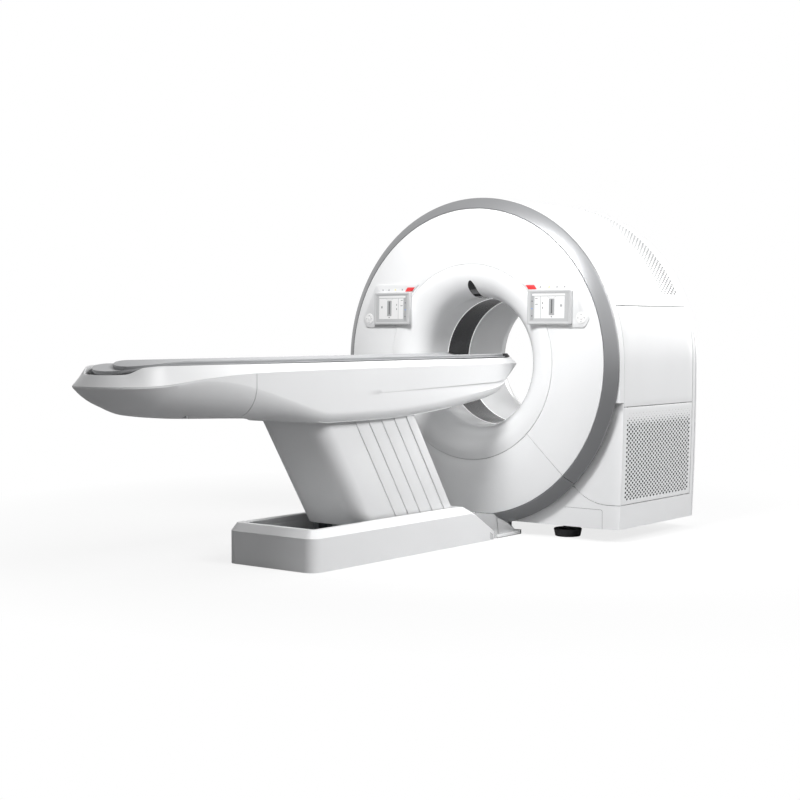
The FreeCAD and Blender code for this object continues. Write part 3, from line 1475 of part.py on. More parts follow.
def lift():
    wall, over = S.column_wall, S.slat_overlap
    main_near = S.column_rear + wall + S.seat
    link_arms("main_link", S.main_arm_x, S.main_pivot + S.arm_half, main_near, S.main_pivot, False)
    second_far = S.column_front - wall - S.seat
    second_near = S.second_pivot - S.arm_half
    link_arms("second_link", S.second_arm_x, second_far, second_near, S.second_pivot, True)
    last = S.first_slat - SLATS * S.slat_pitch
    near_half = S.column_half + (SLATS + 1) * S.shingle_step + 1
    column_end(
        "far_column_cover", S.column_half, S.column_front, S.first_slat - over, S.column_round, -1,
    )
    column_end(
        "near_column_cover", near_half, S.column_rear, last, S.column_rear_round, 1,
    )
    pin = S.slat_pin + S.pivot_clearance
    for number in range(1, SLATS + 1):
        far = S.first_slat - S.slat_pitch * (number - 1)
        near = far - S.slat_pitch - over
        face = slat_face(number)
        plates = leaning(
            f"slat_plates_{number}", S.low_pivot - S.slat_foot, S.cover_high,
            rectangle(face, -far, face + wall, -near), rectangle(-face - wall, -far, -face, -near),
        )
        pivot = slat_pivot(number - 1)
        at = (-face - wall, -pivot, S.low_pivot - S.bore_height)
        hole = tube_along(f"slat_hole_{number}", pin, 2 * (face + wall), at, "X")
        keep(combine("Cut", f"slat_{number}_drilled", plates.body, [hole]), f"slat_{number}")


# ---------------------------------------------------------------- patient table: hull and cradle

def station(number, inset):
    """The sizes of one hull station, moved in by the inset."""
    value = {field: getattr(S, f"hull_{field}_{number}") for field in STATION_FIELDS}
    last = len(HULL_STATIONS) - 1
    if number == 0:
        value["setback"] = value["setback"] - inset
    if number == last:
        value["setback"] = value["setback"] + inset
    value["half"] = value["half"] - inset
    value["belly"] = value["belly"] + inset
    value["bilge"] = value["bilge"] - inset / 2
    value["rim"] = value["rim"] - inset
    value["rim_half"] = value["rim_half"] - inset / 2
    return value


def hull_loop(value):
    """A hull section: flat belly, rounded bilges, upright sides, knife edges and the rim above."""
    half, flat, edge = value["half"], value["flat"], value["edge"]
    belly, bilge = value["belly"], value["bilge"]
    wide = half - flat
    radius = (wide * wide + bilge * bilge) / (2 * bilge)
    right = [
        (half, belly + bilge, radius),
        (half, edge),
        (value["rim_half"], value["rim"]),
    ]
    left = [(-value["rim_half"], value["rim"]), (-half, edge), (-half, belly + bilge)]
    return [(flat, belly), *right, *left, (-flat, belly, radius)]


def hull_form(name, inset):
    """The whole hull's smooth closed form, moved in by the inset."""
    piece = Piece(name)
    values = [station(number, inset) for number in range(len(HULL_STATIONS))]
    sections = [(-value["setback"], hull_loop(value)) for value in values]
    piece.loft("XZ", sections, ruled=HULL_RULED)
    return piece.body


def above_edge(name, rise):
    """Everything above the hull's knife edge, lifted by rise."""
    piece = Piece(name)
    line = [
        (-getattr(S, f"hull_setback_{n}"), getattr(S, f"hull_edge_{n}") + rise)
        for n in range(len(HULL_STATIONS))
    ]
    start = (line[0][0] - S.seam, line[0][1])
    end = (line[-1][0] + S.seam, line[-1][1])
    piece.pad("YZ", -FAR, 2 * FAR, [start, *line[1:-1], end, (end[0], FAR), (start[0], FAR)])
    return piece.body


def channel(name, half, foot, low):
    """The channel's plan with its round foot end, as a solid from a height upwards."""
    piece = Piece(name)
    middle = half - foot
    piece.pad("XY", low, FAR, [
        (half, FAR),
        (-half, FAR),
        (-half, middle),
        (0, -foot, half),
        (half, middle, half),
    ])
    return piece.body


def hull():
    outer = hull_form("hull_outer", size(0))
    inner = hull_form("hull_inner", S.hull_wall)
    shell = combine("Cut", "hull_walls", outer, [inner])
    above = above_edge("above_edge", size(0))
    lower = combine("Cut", "hull_lower", shell, [above])
    half = S.hull_opening_half
    well = box(
        "column_well",
        -half, -S.hull_opening_far, -S.bore_height, half, -S.hull_opening_near, -S.well_top,
    )
    seam = S.seam / 2
    foot_space = box("foot_space", -FAR, -2 * FAR, -FAR, FAR, seam - S.foot_seam, FAR)
    main_space = box("main_space", -FAR, -S.foot_seam - seam, -FAR, FAR, FAR, FAR)
    wall = S.tray_wall
    floor = S.tray_seat - S.spine_top
    clear = wall + S.seat
    tray = channel("tray_space", S.channel_half + clear, S.channel_foot + clear, floor - S.seat)
    keep(combine("Cut", "hull_main", lower, [foot_space, well, tray]), "hull_shell")
    keep(combine("Cut", "hull_foot", lower, [main_space]), "foot_end_cover")

    cap = combine("Common", "cap", shell, [above_edge("above_seam", S.seat)])
    walls = channel("channel_walls", S.channel_half + wall, S.channel_foot + wall, floor)
    scoop = box(
        "scoop_space",
        -FAR, -2 * FAR, -S.recess_floor - wall, FAR, -S.recess_end, floor + FAR,
    )
    deep = channel("scoop_walls", S.channel_half + wall, S.channel_foot + wall, -S.recess_floor - wall)
    deep = combine("Common", "scoop", deep, [scoop])
    plug = combine("MultiFuse", "tray_block", walls, [deep])
    plug = combine("Common", "tray_solid", plug, [outer])
    body = combine("MultiFuse", "top_solid", cap, [plug])
    space = channel("channel_space", S.channel_half, S.channel_foot, floor + wall)
    dip = channel("dip_space", S.channel_half, S.channel_foot, -S.recess_floor)
    dip_box = box(
        "dip_box", -FAR, -2 * FAR, -S.recess_floor, FAR, -S.recess_end - wall, FAR,
    )
    dip = combine("Common", "dip", dip, [dip_box])
    keep(combine("Cut", "top", body, [space, dip]), "top_cover")


def table_frame():
    low, high = -S.spine_top - S.spine_height, -S.spine_top
    inner, outer = S.spine_x, S.spine_x + S.spine_width
    parts = []
    level = S.low_pivot - S.bore_height + S.link_length * sine(S.lift_angle)
    along = S.link_length * cosine(S.lift_angle)
    pivots = [S.main_pivot + along, S.second_pivot + along]
    drop = level - S.arm_half
    lug_in, lug_out = S.main_arm_x + S.arm_wall + S.lug_gap, outer - S.lug_gap
    for side in (-1, 1):
        ends = (inner, outer) if side > 0 else (-outer, -inner)
        parts.append(box(f"spine_{side}", ends[0], -S.spine_far, low, ends[1], -S.spine_near, high))
        ends = (lug_in, lug_out) if side > 0 else (-lug_out, -lug_in)
        for number, setback in enumerate(pivots):
            near, far = S.arm_half - setback, -S.arm_half - setback
            parts.append(box(f"lug_{number}_{side}", ends[0], far, drop, ends[1], near, low))
    for number, setback in enumerate(pivots):
        at = (-lug_out, -setback, level)
        parts.append(tube_along(f"high_shaft_{number}", S.pivot_radius, 2 * lug_out, at, "X"))
    for number in POST_STATIONS:
        middle = -getattr(S, f"hull_setback_{number}")
        belly = getattr(S, f"hull_belly_{number}") + S.hull_wall + S.post_gap
        near, far = middle + S.post_wall / 2, middle - S.post_wall / 2
        half = S.post_half
        parts.append(box(f"post_{number}", -half, far, belly, half, near, high))
        parts.append(box(f"tie_{number}", -inner, far, low, inner, near, high))
    track_in, track_out = S.track_x - S.runner_width / 2, S.track_x + S.runner_width / 2
    tray_top = high + S.tray_seat + S.tray_wall
    tracks = []
    for side in (-1, 1):
        ends = (track_in, track_out) if side > 0 else (-track_out, -track_in)
        tracks.append(box(
            f"track_{side}",
            ends[0], -S.track_far, tray_top + S.seat, ends[1], -S.spine_near,
            tray_top + S.seat + S.track_height,
        ))
    keep(combine("MultiFuse", "spine_frame", parts[0], [*parts[1:], *tracks]), "table_frame")
    near = -getattr(S, f"hull_setback_{POST_STATIONS[0]}") + S.post_wall / 2 + S.seat
    half, deep = S.drive_half, S.drive_length
    keep(
        box("drive_box", -half, near, low, half, near + deep, high - S.drive_gap),
        "cradle_drive",
    )


def dished(half, edge, dip):
    """Corners of a dished line from the right edge to the left one, and its radius."""
    radius = (half * half + dip * dip) / (2 * dip)
    return [(half, edge), (0, edge - dip, -radius), (-half, edge, -radius)]


def cradle():
    edge, wall, end = S.cradle_edge, S.cradle_wall, S.cradle_head
    tip = S.tip_length
    half, dip = S.cradle_half, S.cradle_dip
    lip = S.cradle_lip
    under = [(-half, edge - lip), (0, edge - dip - wall), (half, edge - lip)]
    sag = dip + wall - lip
    low_radius = (half * half + sag * sag) / (2 * sag)
    bottom = [under[0], (*under[1], low_radius), (*under[2], low_radius)]
    section = [*dished(half, edge, dip), *bottom]
    board = Piece("board_blank")
    start = -S.cradle_foot
    board.pad("XZ", start, end - tip - S.seat - start, section)
    plan = rounded_foot("board_plan", half, S.cradle_foot)
    board = combine("Common", "board", board.body, [plan])
    runners = []
    low = S.tray_seat - S.spine_top + S.tray_wall + S.seat + S.track_height + S.seat
    track_in, track_out = S.track_x - S.runner_width / 2, S.track_x + S.runner_width / 2
    for side in (-1, 1):
        ends = (track_in, track_out) if side > 0 else (-track_out, -track_in)
        near = S.runner_length - S.runner_far
        runners.append(box(f"runner_{side}", ends[0], -S.runner_far, low, ends[1], near, S.runner_top))
    keep(combine("MultiFuse", "cradle_lower", board, runners), "cradle_board")

    reach, seat, deep = S.top_half, S.seat, S.top_wall
    big = (half * half + dip * dip) / (2 * dip)
    sink = big - root(big * big - reach * reach)
    level = edge - dip + seat
    top = Piece("top_blank")
    first = -S.top_foot
    top.pad("XZ", first, end - tip - seat - first, [
        (-reach, level + sink),
        (0, level, big),
        (reach, level + sink, big),
        (reach, level + sink + deep),
        (0, level + deep, -big),
        (-reach, level + sink + deep, -big),
    ])
    plan = rounded_foot("top_plan", reach, S.top_foot)
    keep(combine("Common", "top_board", top.body, [plan]), "cradle_top")

    cap = Piece("cradle_tip")
    crown = [
        (half, edge),
        (reach, level + sink + deep),
        (0, level + deep, -big),
        (-reach, level + sink + deep, -big),
        (-half, edge),
    ]
    cap.pad("XZ", end - tip, tip, [*crown, *bottom])
    cap.done()


def rounded_foot(name, half, foot):
    """A plan with a round foot end, as a tall solid."""
    piece = Piece(name)
    piece.pad("XY", -FAR, 2 * FAR, [
        (half, FAR),
        (-half, FAR),
        (-half, half - foot),
        (0, -foot, half),
        (half, half - foot, half),
    ])
    return piece.body


# ---------------------------------------------------------------- the part

def check():
    """Stop if any object of the document failed or a node is empty or not valid."""
    DOC.recompute()
    for obj in DOC.Objects:
        if "Invalid" in obj.State or "Error" in obj.State:
            raise RuntimeError(f"{obj.Name} did not build")
    for label, obj in NODES.items():
        if obj.Shape.isNull() or not obj.Shape.isValid() or not obj.Shape.Solids:
            raise RuntimeError(f"{label} is not a valid solid")


def export():
    os.makedirs("parts", exist_ok=True)
    for label, obj in NODES.items():
        obj.Shape.exportStep(f"parts/{label}.step")


gantry_covers()
front_face()
front_flare()
bore()
control_pads()
gantry_inside()
table_base()
table_base_frame()
bridge()
lift_gearmotor()
lift()
hull()
table_frame()
cradle()
check()
export()
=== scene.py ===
"""Looks of a computed tomography scanner: its moulded covers, ring, bore, control pads and patient table,
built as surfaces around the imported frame, with their finishes, a plain stage and the camera.

Lengths in the shape functions are millimetres in the gantry's own frame: +Z up, +Y into the bore, the
origin where the bore's axis meets the plane of the trim ring's rim.  place() turns them into row metres.
"""
import math

import bpy
import numpy as np
from bpy.props import FloatProperty, FloatVectorProperty, IntProperty, PointerProperty
from mathutils import Matrix, Vector
from mathutils.geometry import delaunay_2d_cdt


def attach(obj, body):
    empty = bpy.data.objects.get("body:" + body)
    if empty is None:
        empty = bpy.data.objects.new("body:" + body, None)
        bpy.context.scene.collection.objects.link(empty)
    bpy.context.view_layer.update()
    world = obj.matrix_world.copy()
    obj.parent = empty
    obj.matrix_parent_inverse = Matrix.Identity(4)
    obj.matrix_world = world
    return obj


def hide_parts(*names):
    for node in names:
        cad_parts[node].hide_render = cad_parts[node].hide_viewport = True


bl_info = {
    "name": "CT Scanner",
    "version": (1, 0, 0),
    "blender": (4, 5, 0),
    "location": "View3D > Sidebar > CT Scanner",
    "description": "Builds the covers, bore, control pads and patient table of a tomography scanner",
    "category": "Add Mesh",
}

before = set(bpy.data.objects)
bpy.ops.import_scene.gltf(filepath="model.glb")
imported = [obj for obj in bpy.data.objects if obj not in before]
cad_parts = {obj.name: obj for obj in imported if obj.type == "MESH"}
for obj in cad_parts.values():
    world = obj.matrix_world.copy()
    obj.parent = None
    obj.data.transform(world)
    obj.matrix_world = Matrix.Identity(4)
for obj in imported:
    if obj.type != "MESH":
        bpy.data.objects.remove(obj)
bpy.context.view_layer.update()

MM = 0.001
ORIGIN = np.array((0.0, -0.425, 0.925))
FLOOR = -925.0

# gantry outline: its half circle's radius, the round of its sides, and where its covers start and end
RADIUS, SIDE_RADIUS = 887.0, 17000.0
DOME_FRONT, COVER_END, COVER_LOW, BACK = 16.3, 850.0, -858.0, 900.0
FRONT_PLATE, CORNER_WIDE, CORNER_DEEP, CORNER_TOP = 45.0, 76.0, 16.0, -200.0
SKIRT_TOP, SKIRT_ROUND, SEAM_FLAT, SEAM_RISE = -733.0, 271.0, 800.0, 604.0
# the side panel's front, back, bottom and top, and the joint between neighbouring covers
PANEL, JOINT = (65.0, 815.0, -222.0, 298.0), 3.0
# depth where the front covers end and the side panel's opening starts
SIDE_FRONT = PANEL[0] - JOINT
# a point inside the gantry, which its covers face away from
CORE = (0.0, 400.0, 0.0)
# the arch's band of vent holes: depths and angles
VENT_BAND, VENT_ARC = (592.0, 788.0), (24.0, 156.0)
# bore: its radius, the flares' round, the front cover's hole, the flare's lip, a cover's wall, the depth
# where the rear flare starts, the two bright bands' depths and the gap between neighbouring parts
BORE, FLARE, DISH, FACE, WALL = 350.0, 140.0, 528.0, -64.0, 6.0
REAR_FLARE, BANDS, GAP = 758.0, ((217.0, 223.0), (425.0, 431.0)), 0.3
# column: how its links lean, the level of their lower pivots, and where the column's covers end
LEAN = math.radians(57.0)
PIVOT_LEVEL, COLUMN_TOP = -795.0, -237.0
# hull, foot end first: setback from the ring plane, half width and height of the knife edge, height of the
# belly, half width of its flat, height of the bilge, height and half width of the rim
STATIONS = np.array([
    (2690, 112, -54, -88, 62, 30, -8, 92),
    (2630, 190, -53, -130, 100, 60, -4, 160),
    (2570, 230, -51, -155, 115, 70, 24, 190),
    (2500, 246, -47, -180, 130, 85, 29, 212),
    (2280, 251, -26, -202, 145, 95, 29, 212),
    (1990, 251, -11, -212, 155, 90, 28, 212),
    (1760, 251, -8, -222, 170, 75, 27, 212),
    (1480, 251, -6, -254, 200, 46, 26, 212),
    (1110, 251, -5, -255, 200, 46, 26, 212),
    (700, 251, -5, -238, 195, 50, 26, 212),
    (330, 250, -5, -204, 180, 55, 24, 212),
    (110, 249, -5, -170, 165, 55, 24, 211),
    (55, 247, -5, -124, 160, 45, 24, 210),
    (8, 245, -5, -78, 155, 35, 24, 209),
    (-36, 242, -5, -16, 150, 6, 22, 207),
], float)
# setbacks of the hull's two ends, and where its plan and its section start to turn round; the crease
# deepens between two setbacks, and a gap lies under the knife edge
HEAD, NOSE, ROUND_START, SOFT_START = -36.0, 2711.0, 2280.0, 1650.0
CREASE_RUN, KNIFE_GAP = (1250.0, 250.0), 1.2
# the hull's opening for the column (half width, far and near end) and the channel the cradle runs in
WELL = (221.0, -1562.0, -520.0)
CHANNEL, CHANNEL_ROUND = 208.0, 2454.0


# ---------------------------------------------------------------- user's sizes and colours

def colour(label, text, default):
    return FloatVectorProperty(
        name=label, description=text, default=default, subtype="COLOR", size=3, min=0.0, max=1.0
    )


def length(label, text, default):
    return FloatProperty(name=label, description=text, default=default, unit="LENGTH", min=0.0)


class ScannerFinishes(bpy.types.PropertyGroup):
    cover: colour("Covers", "Colour of the moulded covers", (0.88, 0.885, 0.89))
    ring: colour("Trim ring", "Colour of the metallic ring round the front", (0.29, 0.293, 0.30))
    window: colour("Scan window", "Colour of the dark ring in the bore", (0.030, 0.031, 0.034))
    liner: colour("Bore liner", "Colour of the rear half of the bore", (0.74, 0.745, 0.75))
    stop: colour("Stop key", "Colour of the stop keys", (0.78, 0.045, 0.05))
    cradle: colour("Cradle", "Colour of the sliding table top", (0.44, 0.445, 0.455))
    bridge: colour("Bridge cover", "Tint of the clear cover over the cable duct", (0.84, 0.845, 0.85))
    feet: colour("Feet", "Colour of the levelling feet", (0.022, 0.022, 0.024))


class ScannerSizes(bpy.types.PropertyGroup):
    hole_pitch: length("Hole pitch", "Spacing of the vent holes along the gantry", 0.0364)
    hole_rise: length("Hole rise", "Spacing of the vent holes up the side", 0.0228)
    hole_wide: length("Hole width", "Length of a vent hole along the gantry", 0.0185)
    hole_high: length("Hole height", "Height of a vent hole", 0.0132)
    edge_roll: length("Edge roll", "Rounding of the panels' edges", 0.0020)
    ring_edge: length("Ring edge", "Rounding of the trim ring's front edge", 0.0040)
    crease_depth: length("Hull crease", "Depth of the crease along the table's side", 0.0080)
    round_steps: IntProperty(
        name="Round steps", description="Sections round the whole ring", default=288, min=48, max=720
    )


# ---------------------------------------------------------------- surfaces

def place(points):
    """Gantry millimetres as row metres: a thousandth of each, moved by the gantry's origin."""
    return np.asarray(points, float) * MM + ORIGIN


def grid(*axes):
    """Points whose coordinates are arrays that broadcast together."""
    return np.stack(np.broadcast_arrays(*axes), -1)


def upright(line, y):
    """A line of (x, z) as points at one depth y."""
    line = np.asarray(line, float)
    return grid(line[:, 0], y, line[:, 1])


def level(line, z):
    """A line of (x, y) as points at a height, or at one height each."""
    line = np.asarray(line, float)
    return grid(line[:, 0], line[:, 1], z)


def quarter(count):
    """Angles from nought to ninety degrees."""
    return np.radians(np.linspace(0, 90, count))


def circle(count):
    """Angles once round, without the last."""
    return np.linspace(0, 2 * math.pi, count, endpoint=False)


def lattice(rows, columns, loop_rows=False, loop_columns=False):
    """Quads of a rows x columns lattice numbered row by row; a looped direction joins its end to its
    start."""
    r = np.arange(rows if loop_rows else rows - 1)[:, None]
    c = np.arange(columns if loop_columns else columns - 1)[None, :]
    up, on = (r + 1) % rows, (c + 1) % columns
    return grid(r * columns + c, r * columns + on, up * columns + on, up * columns + c).reshape(-1, 4)


def join(*parts):
    """Several (points, faces) as one, each part's numbers moved past the points before it."""
    points, faces, shift = [], [], 0
    for own, blocks in parts:
        points.append(own)
        faces += [block + shift for block in blocks]
        shift += len(own)
    return np.concatenate(points), faces


def mirror(part):
    """The part on the other side of x = 0, its faces turned so that they still face out."""
    return part[0] * (-1, 1, 1), [block[:, ::-1] for block in part[1]]


def pair(part):
    """The part and its mirror image as one."""
    return join(part, mirror(part))


def weld(part, fine=0.02):
    """Points in the same cell of a fine grid become one point."""
    spots = np.round(part[0] / fine).astype(np.int64)
    _, first, where = np.unique(spots, axis=0, return_index=True, return_inverse=True)
    return part[0][first], [where.ravel()[block] for block in part[1]]


def outward(part, inside):
    """Faces turned to look away from a point inside: the sum of area normal times way out is positive."""
    points, faces = part
    total = 0.0
    for block in faces:
        a = points[block[:, 0]]
        for k in range(1, block.shape[1] - 1):
            b, c = points[block[:, k]], points[block[:, k + 1]]
            away = (a + b + c) / 3 - np.asarray(inside, float)
            total += np.einsum("ij,ij->", np.cross(b - a, c - a), away)
    return part if total > 0 else (points, [block[:, ::-1] for block in faces])


def solid(sections, loop=False):
    """A closed skin through equal closed sections, with a flat cap at each end unless the run is a loop."""
    sections = np.asarray(sections, float)
    count, corners = sections.shape[:2]
    faces = [lattice(count, corners, loop, True)]
    if not loop:
        faces.append(np.arange(corners)[None, ::-1])
        faces.append((count - 1) * corners + np.arange(corners)[None, :])
    points = sections.reshape(-1, 3)
    return outward((points, faces), points.mean(0))


def sheet(points, inside, loop_rows=False, loop_columns=False):
    """A skin over a lattice of points, facing away from a point inside."""
    faces = lattice(*points.shape[:2], loop_rows, loop_columns)
    return outward((points.reshape(-1, 3), [faces]), inside)


def rounded(corners, steps=5):
    """A closed line whose corners (u, v, radius) become arcs tangent to both neighbouring runs."""
    corners = [tuple(c) + (0.0,) * (3 - len(c)) for c in corners]
    line = []
    for number, (u, v, radius) in enumerate(corners):
        here = np.array((u, v))
        before = np.array(corners[number - 1][:2]) - here
        after = np.array(corners[(number + 1) % len(corners)][:2]) - here
        if radius <= 0:
            line.append(here[None])
            continue
        before, after = before / np.hypot(*before), after / np.hypot(*after)
        half = math.acos(np.clip(before @ after, -1, 1)) / 2
        reach, sweep = radius / math.tan(half), math.pi - 2 * half
        middle = here + (before + after) / np.hypot(*(before + after)) * radius / math.sin(half)
        start, end = here + before * reach - middle, here + after * reach - middle
        turn = np.linspace(0, 1, steps + 1)[:, None] * sweep
        line.append(middle + (np.sin(sweep - turn) * start + np.sin(turn) * end) / math.sin(sweep))
    return np.concatenate(line)


def rounded_box(u0, v0, u1, v1, low, high, steps):
    """A rectangle, counterclockwise from (u0, v0), with one radius at its two low corners and another at
    its two high ones."""
    return rounded([(u0, v0, low), (u1, v0, low), (u1, v1, high), (u0, v1, high)], steps)


def revolve(profile, start=0.0, end=360.0):
    """A closed (y, radius) line turned about the bore's axis: x = r cos a, z = r sin a."""
    whole = abs(end - start) >= 360
    count = max(int(bpy.context.scene.scanner_sizes.round_steps * abs(end - start) / 360), 2)
    turn = np.radians(np.linspace(start, end, count + (0 if whole else 1), endpoint=not whole))[:, None]
    y, r = np.asarray(profile, float).T
    return solid(grid(r * np.cos(turn), y, r * np.sin(turn)), whole)


def counterclockwise(loop):
    """The closed (u, v) loop in the turning sense that gives it a positive area."""
    u, v = np.asarray(loop, float).T[:2]
    return loop if u @ np.roll(v, -1) > v @ np.roll(u, -1) else loop[::-1]


def plate(outer, holes=(), bend=()):
    """A flat face between an outline and its holes, with an edge along the bend if one is given:
    constrained triangles that lie in the outline only."""
    points, edges, faces = [], [], []
    for loop in (outer, *holes):
        start, count = len(points), len(loop)
        points += [Vector(p) for p in counterclockwise(loop)]
        edges += [(start + k, start + (k + 1) % count) for k in range(count)]
        faces.append(list(range(start, start + count)))
    if bend:
        edges.append((len(points), len(points) + 1))
        points += [Vector(p) for p in bend]
    spots, _, triangles, _, _, owners = delaunay_2d_cdt(points, edges, faces, 0, 1e-4)
    wanted = [corners for corners, own in zip(triangles, owners) if set(own) == {0}]
    return np.array([tuple(p) for p in spots], float), [np.array(wanted, int)]


# ---------------------------------------------------------------- finishes

FINISHES = {}
GLOSS_SPREAD = 0.06


def adjust(node, **values):
    """Sets a shader node's inputs by name, with _ for a space, and gives the node back."""
    for name, value in values.items():
        node.inputs[name.replace("_", " ")].default_value = value
    return node


def add(tree, kind, **values):
    """A new shader node with its inputs set."""
    return adjust(tree.nodes.new(f"ShaderNode{kind}"), **values)


def wire(tree, *rows):
    """Links between shader nodes: each row is a node, its output, another node and its input."""
    for source, out, target, into in rows:
        tree.links.new(source.outputs[out], target.inputs[into])


def finish(name, tint, rough, metal=0.0, coat=0.0, tone=0.04, cloud=3.0, grain=500.0, bump=0.05,
           stretch=(1, 1, 1), solidity=1.0, painted_glow=0.0):
    """A moulded, painted or metal surface: broad noise varies its tone, fine noise its gloss and relief; a
    painted glow, if given, makes it shine in its own colour though it is no lamp.
    """
    material = bpy.data.materials.new(name)
    material.use_nodes = True
    tree = material.node_tree
    shader = adjust(tree.nodes["Principled BSDF"], Metallic=metal, Coat_Weight=coat, Coat_Roughness=0.12,
                    Alpha=solidity)
    # painted light: emission that makes the surface glow though it is no lamp
    if painted_glow:
        adjust(shader, Emission_Color=(*tint, 1), Emission_Strength=painted_glow)
    where, mapped = add(tree, "TexCoord"), add(tree, "Mapping", Scale=stretch)
    clouds, fine = add(tree, "TexNoise", Scale=cloud), add(tree, "TexNoise", Scale=grain, Detail=3)
    tones = add(tree, "ValToRGB")
    dark, light = tones.color_ramp.elements
    dark.position, light.position = 0.3, 0.7
    dark.color = (*[c * (1 - tone) for c in tint], 1)
    light.color = (*[min(c * (1 + tone / 2), 1) for c in tint], 1)
    gloss = add(tree, "MapRange", To_Min=max(rough - GLOSS_SPREAD, 0.02), To_Max=rough + GLOSS_SPREAD)
    relief = add(tree, "Bump", Strength=bump, Distance=0.0004)
    wire(tree, (where, "Object", mapped, "Vector"), (where, "Object", clouds, "Vector"),
         (mapped, "Vector", fine, "Vector"), (clouds, "Fac", tones, "Fac"),
         (tones, "Color", shader, "Base Color"), (fine, "Fac", gloss, "Value"),
         (gloss, "Result", shader, "Roughness"), (fine, "Fac", relief, "Height"),
         (relief, "Normal", shader, "Normal"))
    FINISHES[name] = material


def all_finishes():
    """Every finish of the scanner, from the colours that the user may change."""
    look = bpy.context.scene.scanner_finishes
    cover, cradle = tuple(look.cover), tuple(look.cradle)
    finish("moulded_cover", cover, 0.38, tone=0.015, bump=0.03)
    finish("gloss_front", cover, 0.22, coat=0.3, tone=0.01, bump=0.01)
    finish("satin_ring", tuple(look.ring), 0.36, metal=0.75, tone=0.05, grain=900, bump=0.08)
    finish("scan_window_film", tuple(look.window), 0.2, coat=0.1, tone=0.3, cloud=6, bump=0.02)
    # the window bands: white with a painted glow, emission at half strength, though the bands are no lamp
    finish("white_band_painted_glow", (0.95, 0.95, 0.95), 0.18, tone=0.01, bump=0.01, painted_glow=0.5)
    finish("liner_grey", tuple(look.liner), 0.42, tone=0.03, bump=0.03)
    finish("laser_slot", (0.016, 0.016, 0.018), 0.12, coat=0.6, tone=0.2, bump=0.01)
    finish("pad_plate", (0.78, 0.785, 0.79), 0.34, tone=0.01, bump=0.03, grain=900)
    finish("display_case", (0.60, 0.605, 0.61), 0.30, metal=0.4, tone=0.02, grain=900, bump=0.03)
    finish("display_screen", (0.50, 0.505, 0.51), 0.14, coat=0.2, tone=0.02)
    finish("screen_pale", (0.82, 0.82, 0.82), 0.14, tone=0.01)
    finish("screen_grey", (0.38, 0.385, 0.39), 0.14, tone=0.02)
    finish("screen_dark", (0.13, 0.13, 0.135), 0.14, tone=0.02)
    finish("screen_blue", (0.16, 0.32, 0.72), 0.12, tone=0.02)
    finish("stop_red", tuple(look.stop), 0.32, tone=0.04, bump=0.04, grain=1200)
    finish("key_white", (0.88, 0.88, 0.88), 0.32, tone=0.01, bump=0.04, grain=1200)
    finish("print_grey", (0.17, 0.17, 0.175), 0.45, tone=0.05)
    finish("print_yellow", (0.86, 0.72, 0.04), 0.45, tone=0.05)
    finish("foot_rubber", tuple(look.feet), 0.55, tone=0.25, cloud=20, bump=0.2, grain=300)
    finish("bridge_smoke", tuple(look.bridge), 0.12, tone=0.02, solidity=0.32, bump=0.01)
    finish("bridge_edge", (0.10, 0.10, 0.105), 0.35, tone=0.05)
    finish("table_cover", cover, 0.34, tone=0.015, bump=0.03)
    finish("cradle_board", cradle, 0.42, tone=0.03, bump=0.06, grain=700)
    finish("cradle_top", tuple(c * 0.92 for c in cradle), 0.48, tone=0.03, bump=0.08, grain=700)
    finish("cradle_tip", (0.012, 0.012, 0.013), 0.35, tone=0.2, bump=0.05)
    # painted shade: near-black for vent holes and the sheets behind them, standing in for the shade inside
    finish("vent_painted_shade", (0.05, 0.05, 0.055), 0.6, tone=0.1)
    finish("painted_steel", (0.24, 0.25, 0.27), 0.5, metal=0.2, tone=0.08, bump=0.15, grain=180)
    finish("bare_steel", (0.46, 0.47, 0.48), 0.34, metal=0.9, tone=0.06, stretch=(1, 14, 1), bump=0.1)
    finish("cast_alloy", (0.52, 0.53, 0.54), 0.45, metal=0.8, tone=0.06, bump=0.3, grain=140)
    finish("motor_black", (0.03, 0.03, 0.032), 0.45, tone=0.2, bump=0.2, grain=220)
    finish("belt_rubber", (0.02, 0.02, 0.02), 0.7, tone=0.3, stretch=(1, 30, 1), bump=0.4, grain=60)
    finish("copper_ring", (0.62, 0.33, 0.20), 0.3, metal=0.95, tone=0.08, stretch=(1, 40, 1), bump=0.1)
    finish("module_grey", (0.55, 0.56, 0.57), 0.42, metal=0.4, tone=0.06, bump=0.12, grain=260)


KEPT_FINISHES = {
    "painted_steel": ("gantry_frame", "stator_plate", "table_base_frame"),
    "motor_black": ("drive_motor", "lift_gearmotor", "cradle_drive"),
    "belt_rubber": ("drive_belt",),
    "cast_alloy": ("cover_hoops", "rotor_drum", "main_link", "second_link", "table_frame"),
    "copper_ring": ("slip_ring",),
    "module_grey": ("xray_tube", "hv_generator", "detector_arc"),
    "bare_steel": ("collimator", "heat_exchanger", "drive_pulley"),
}


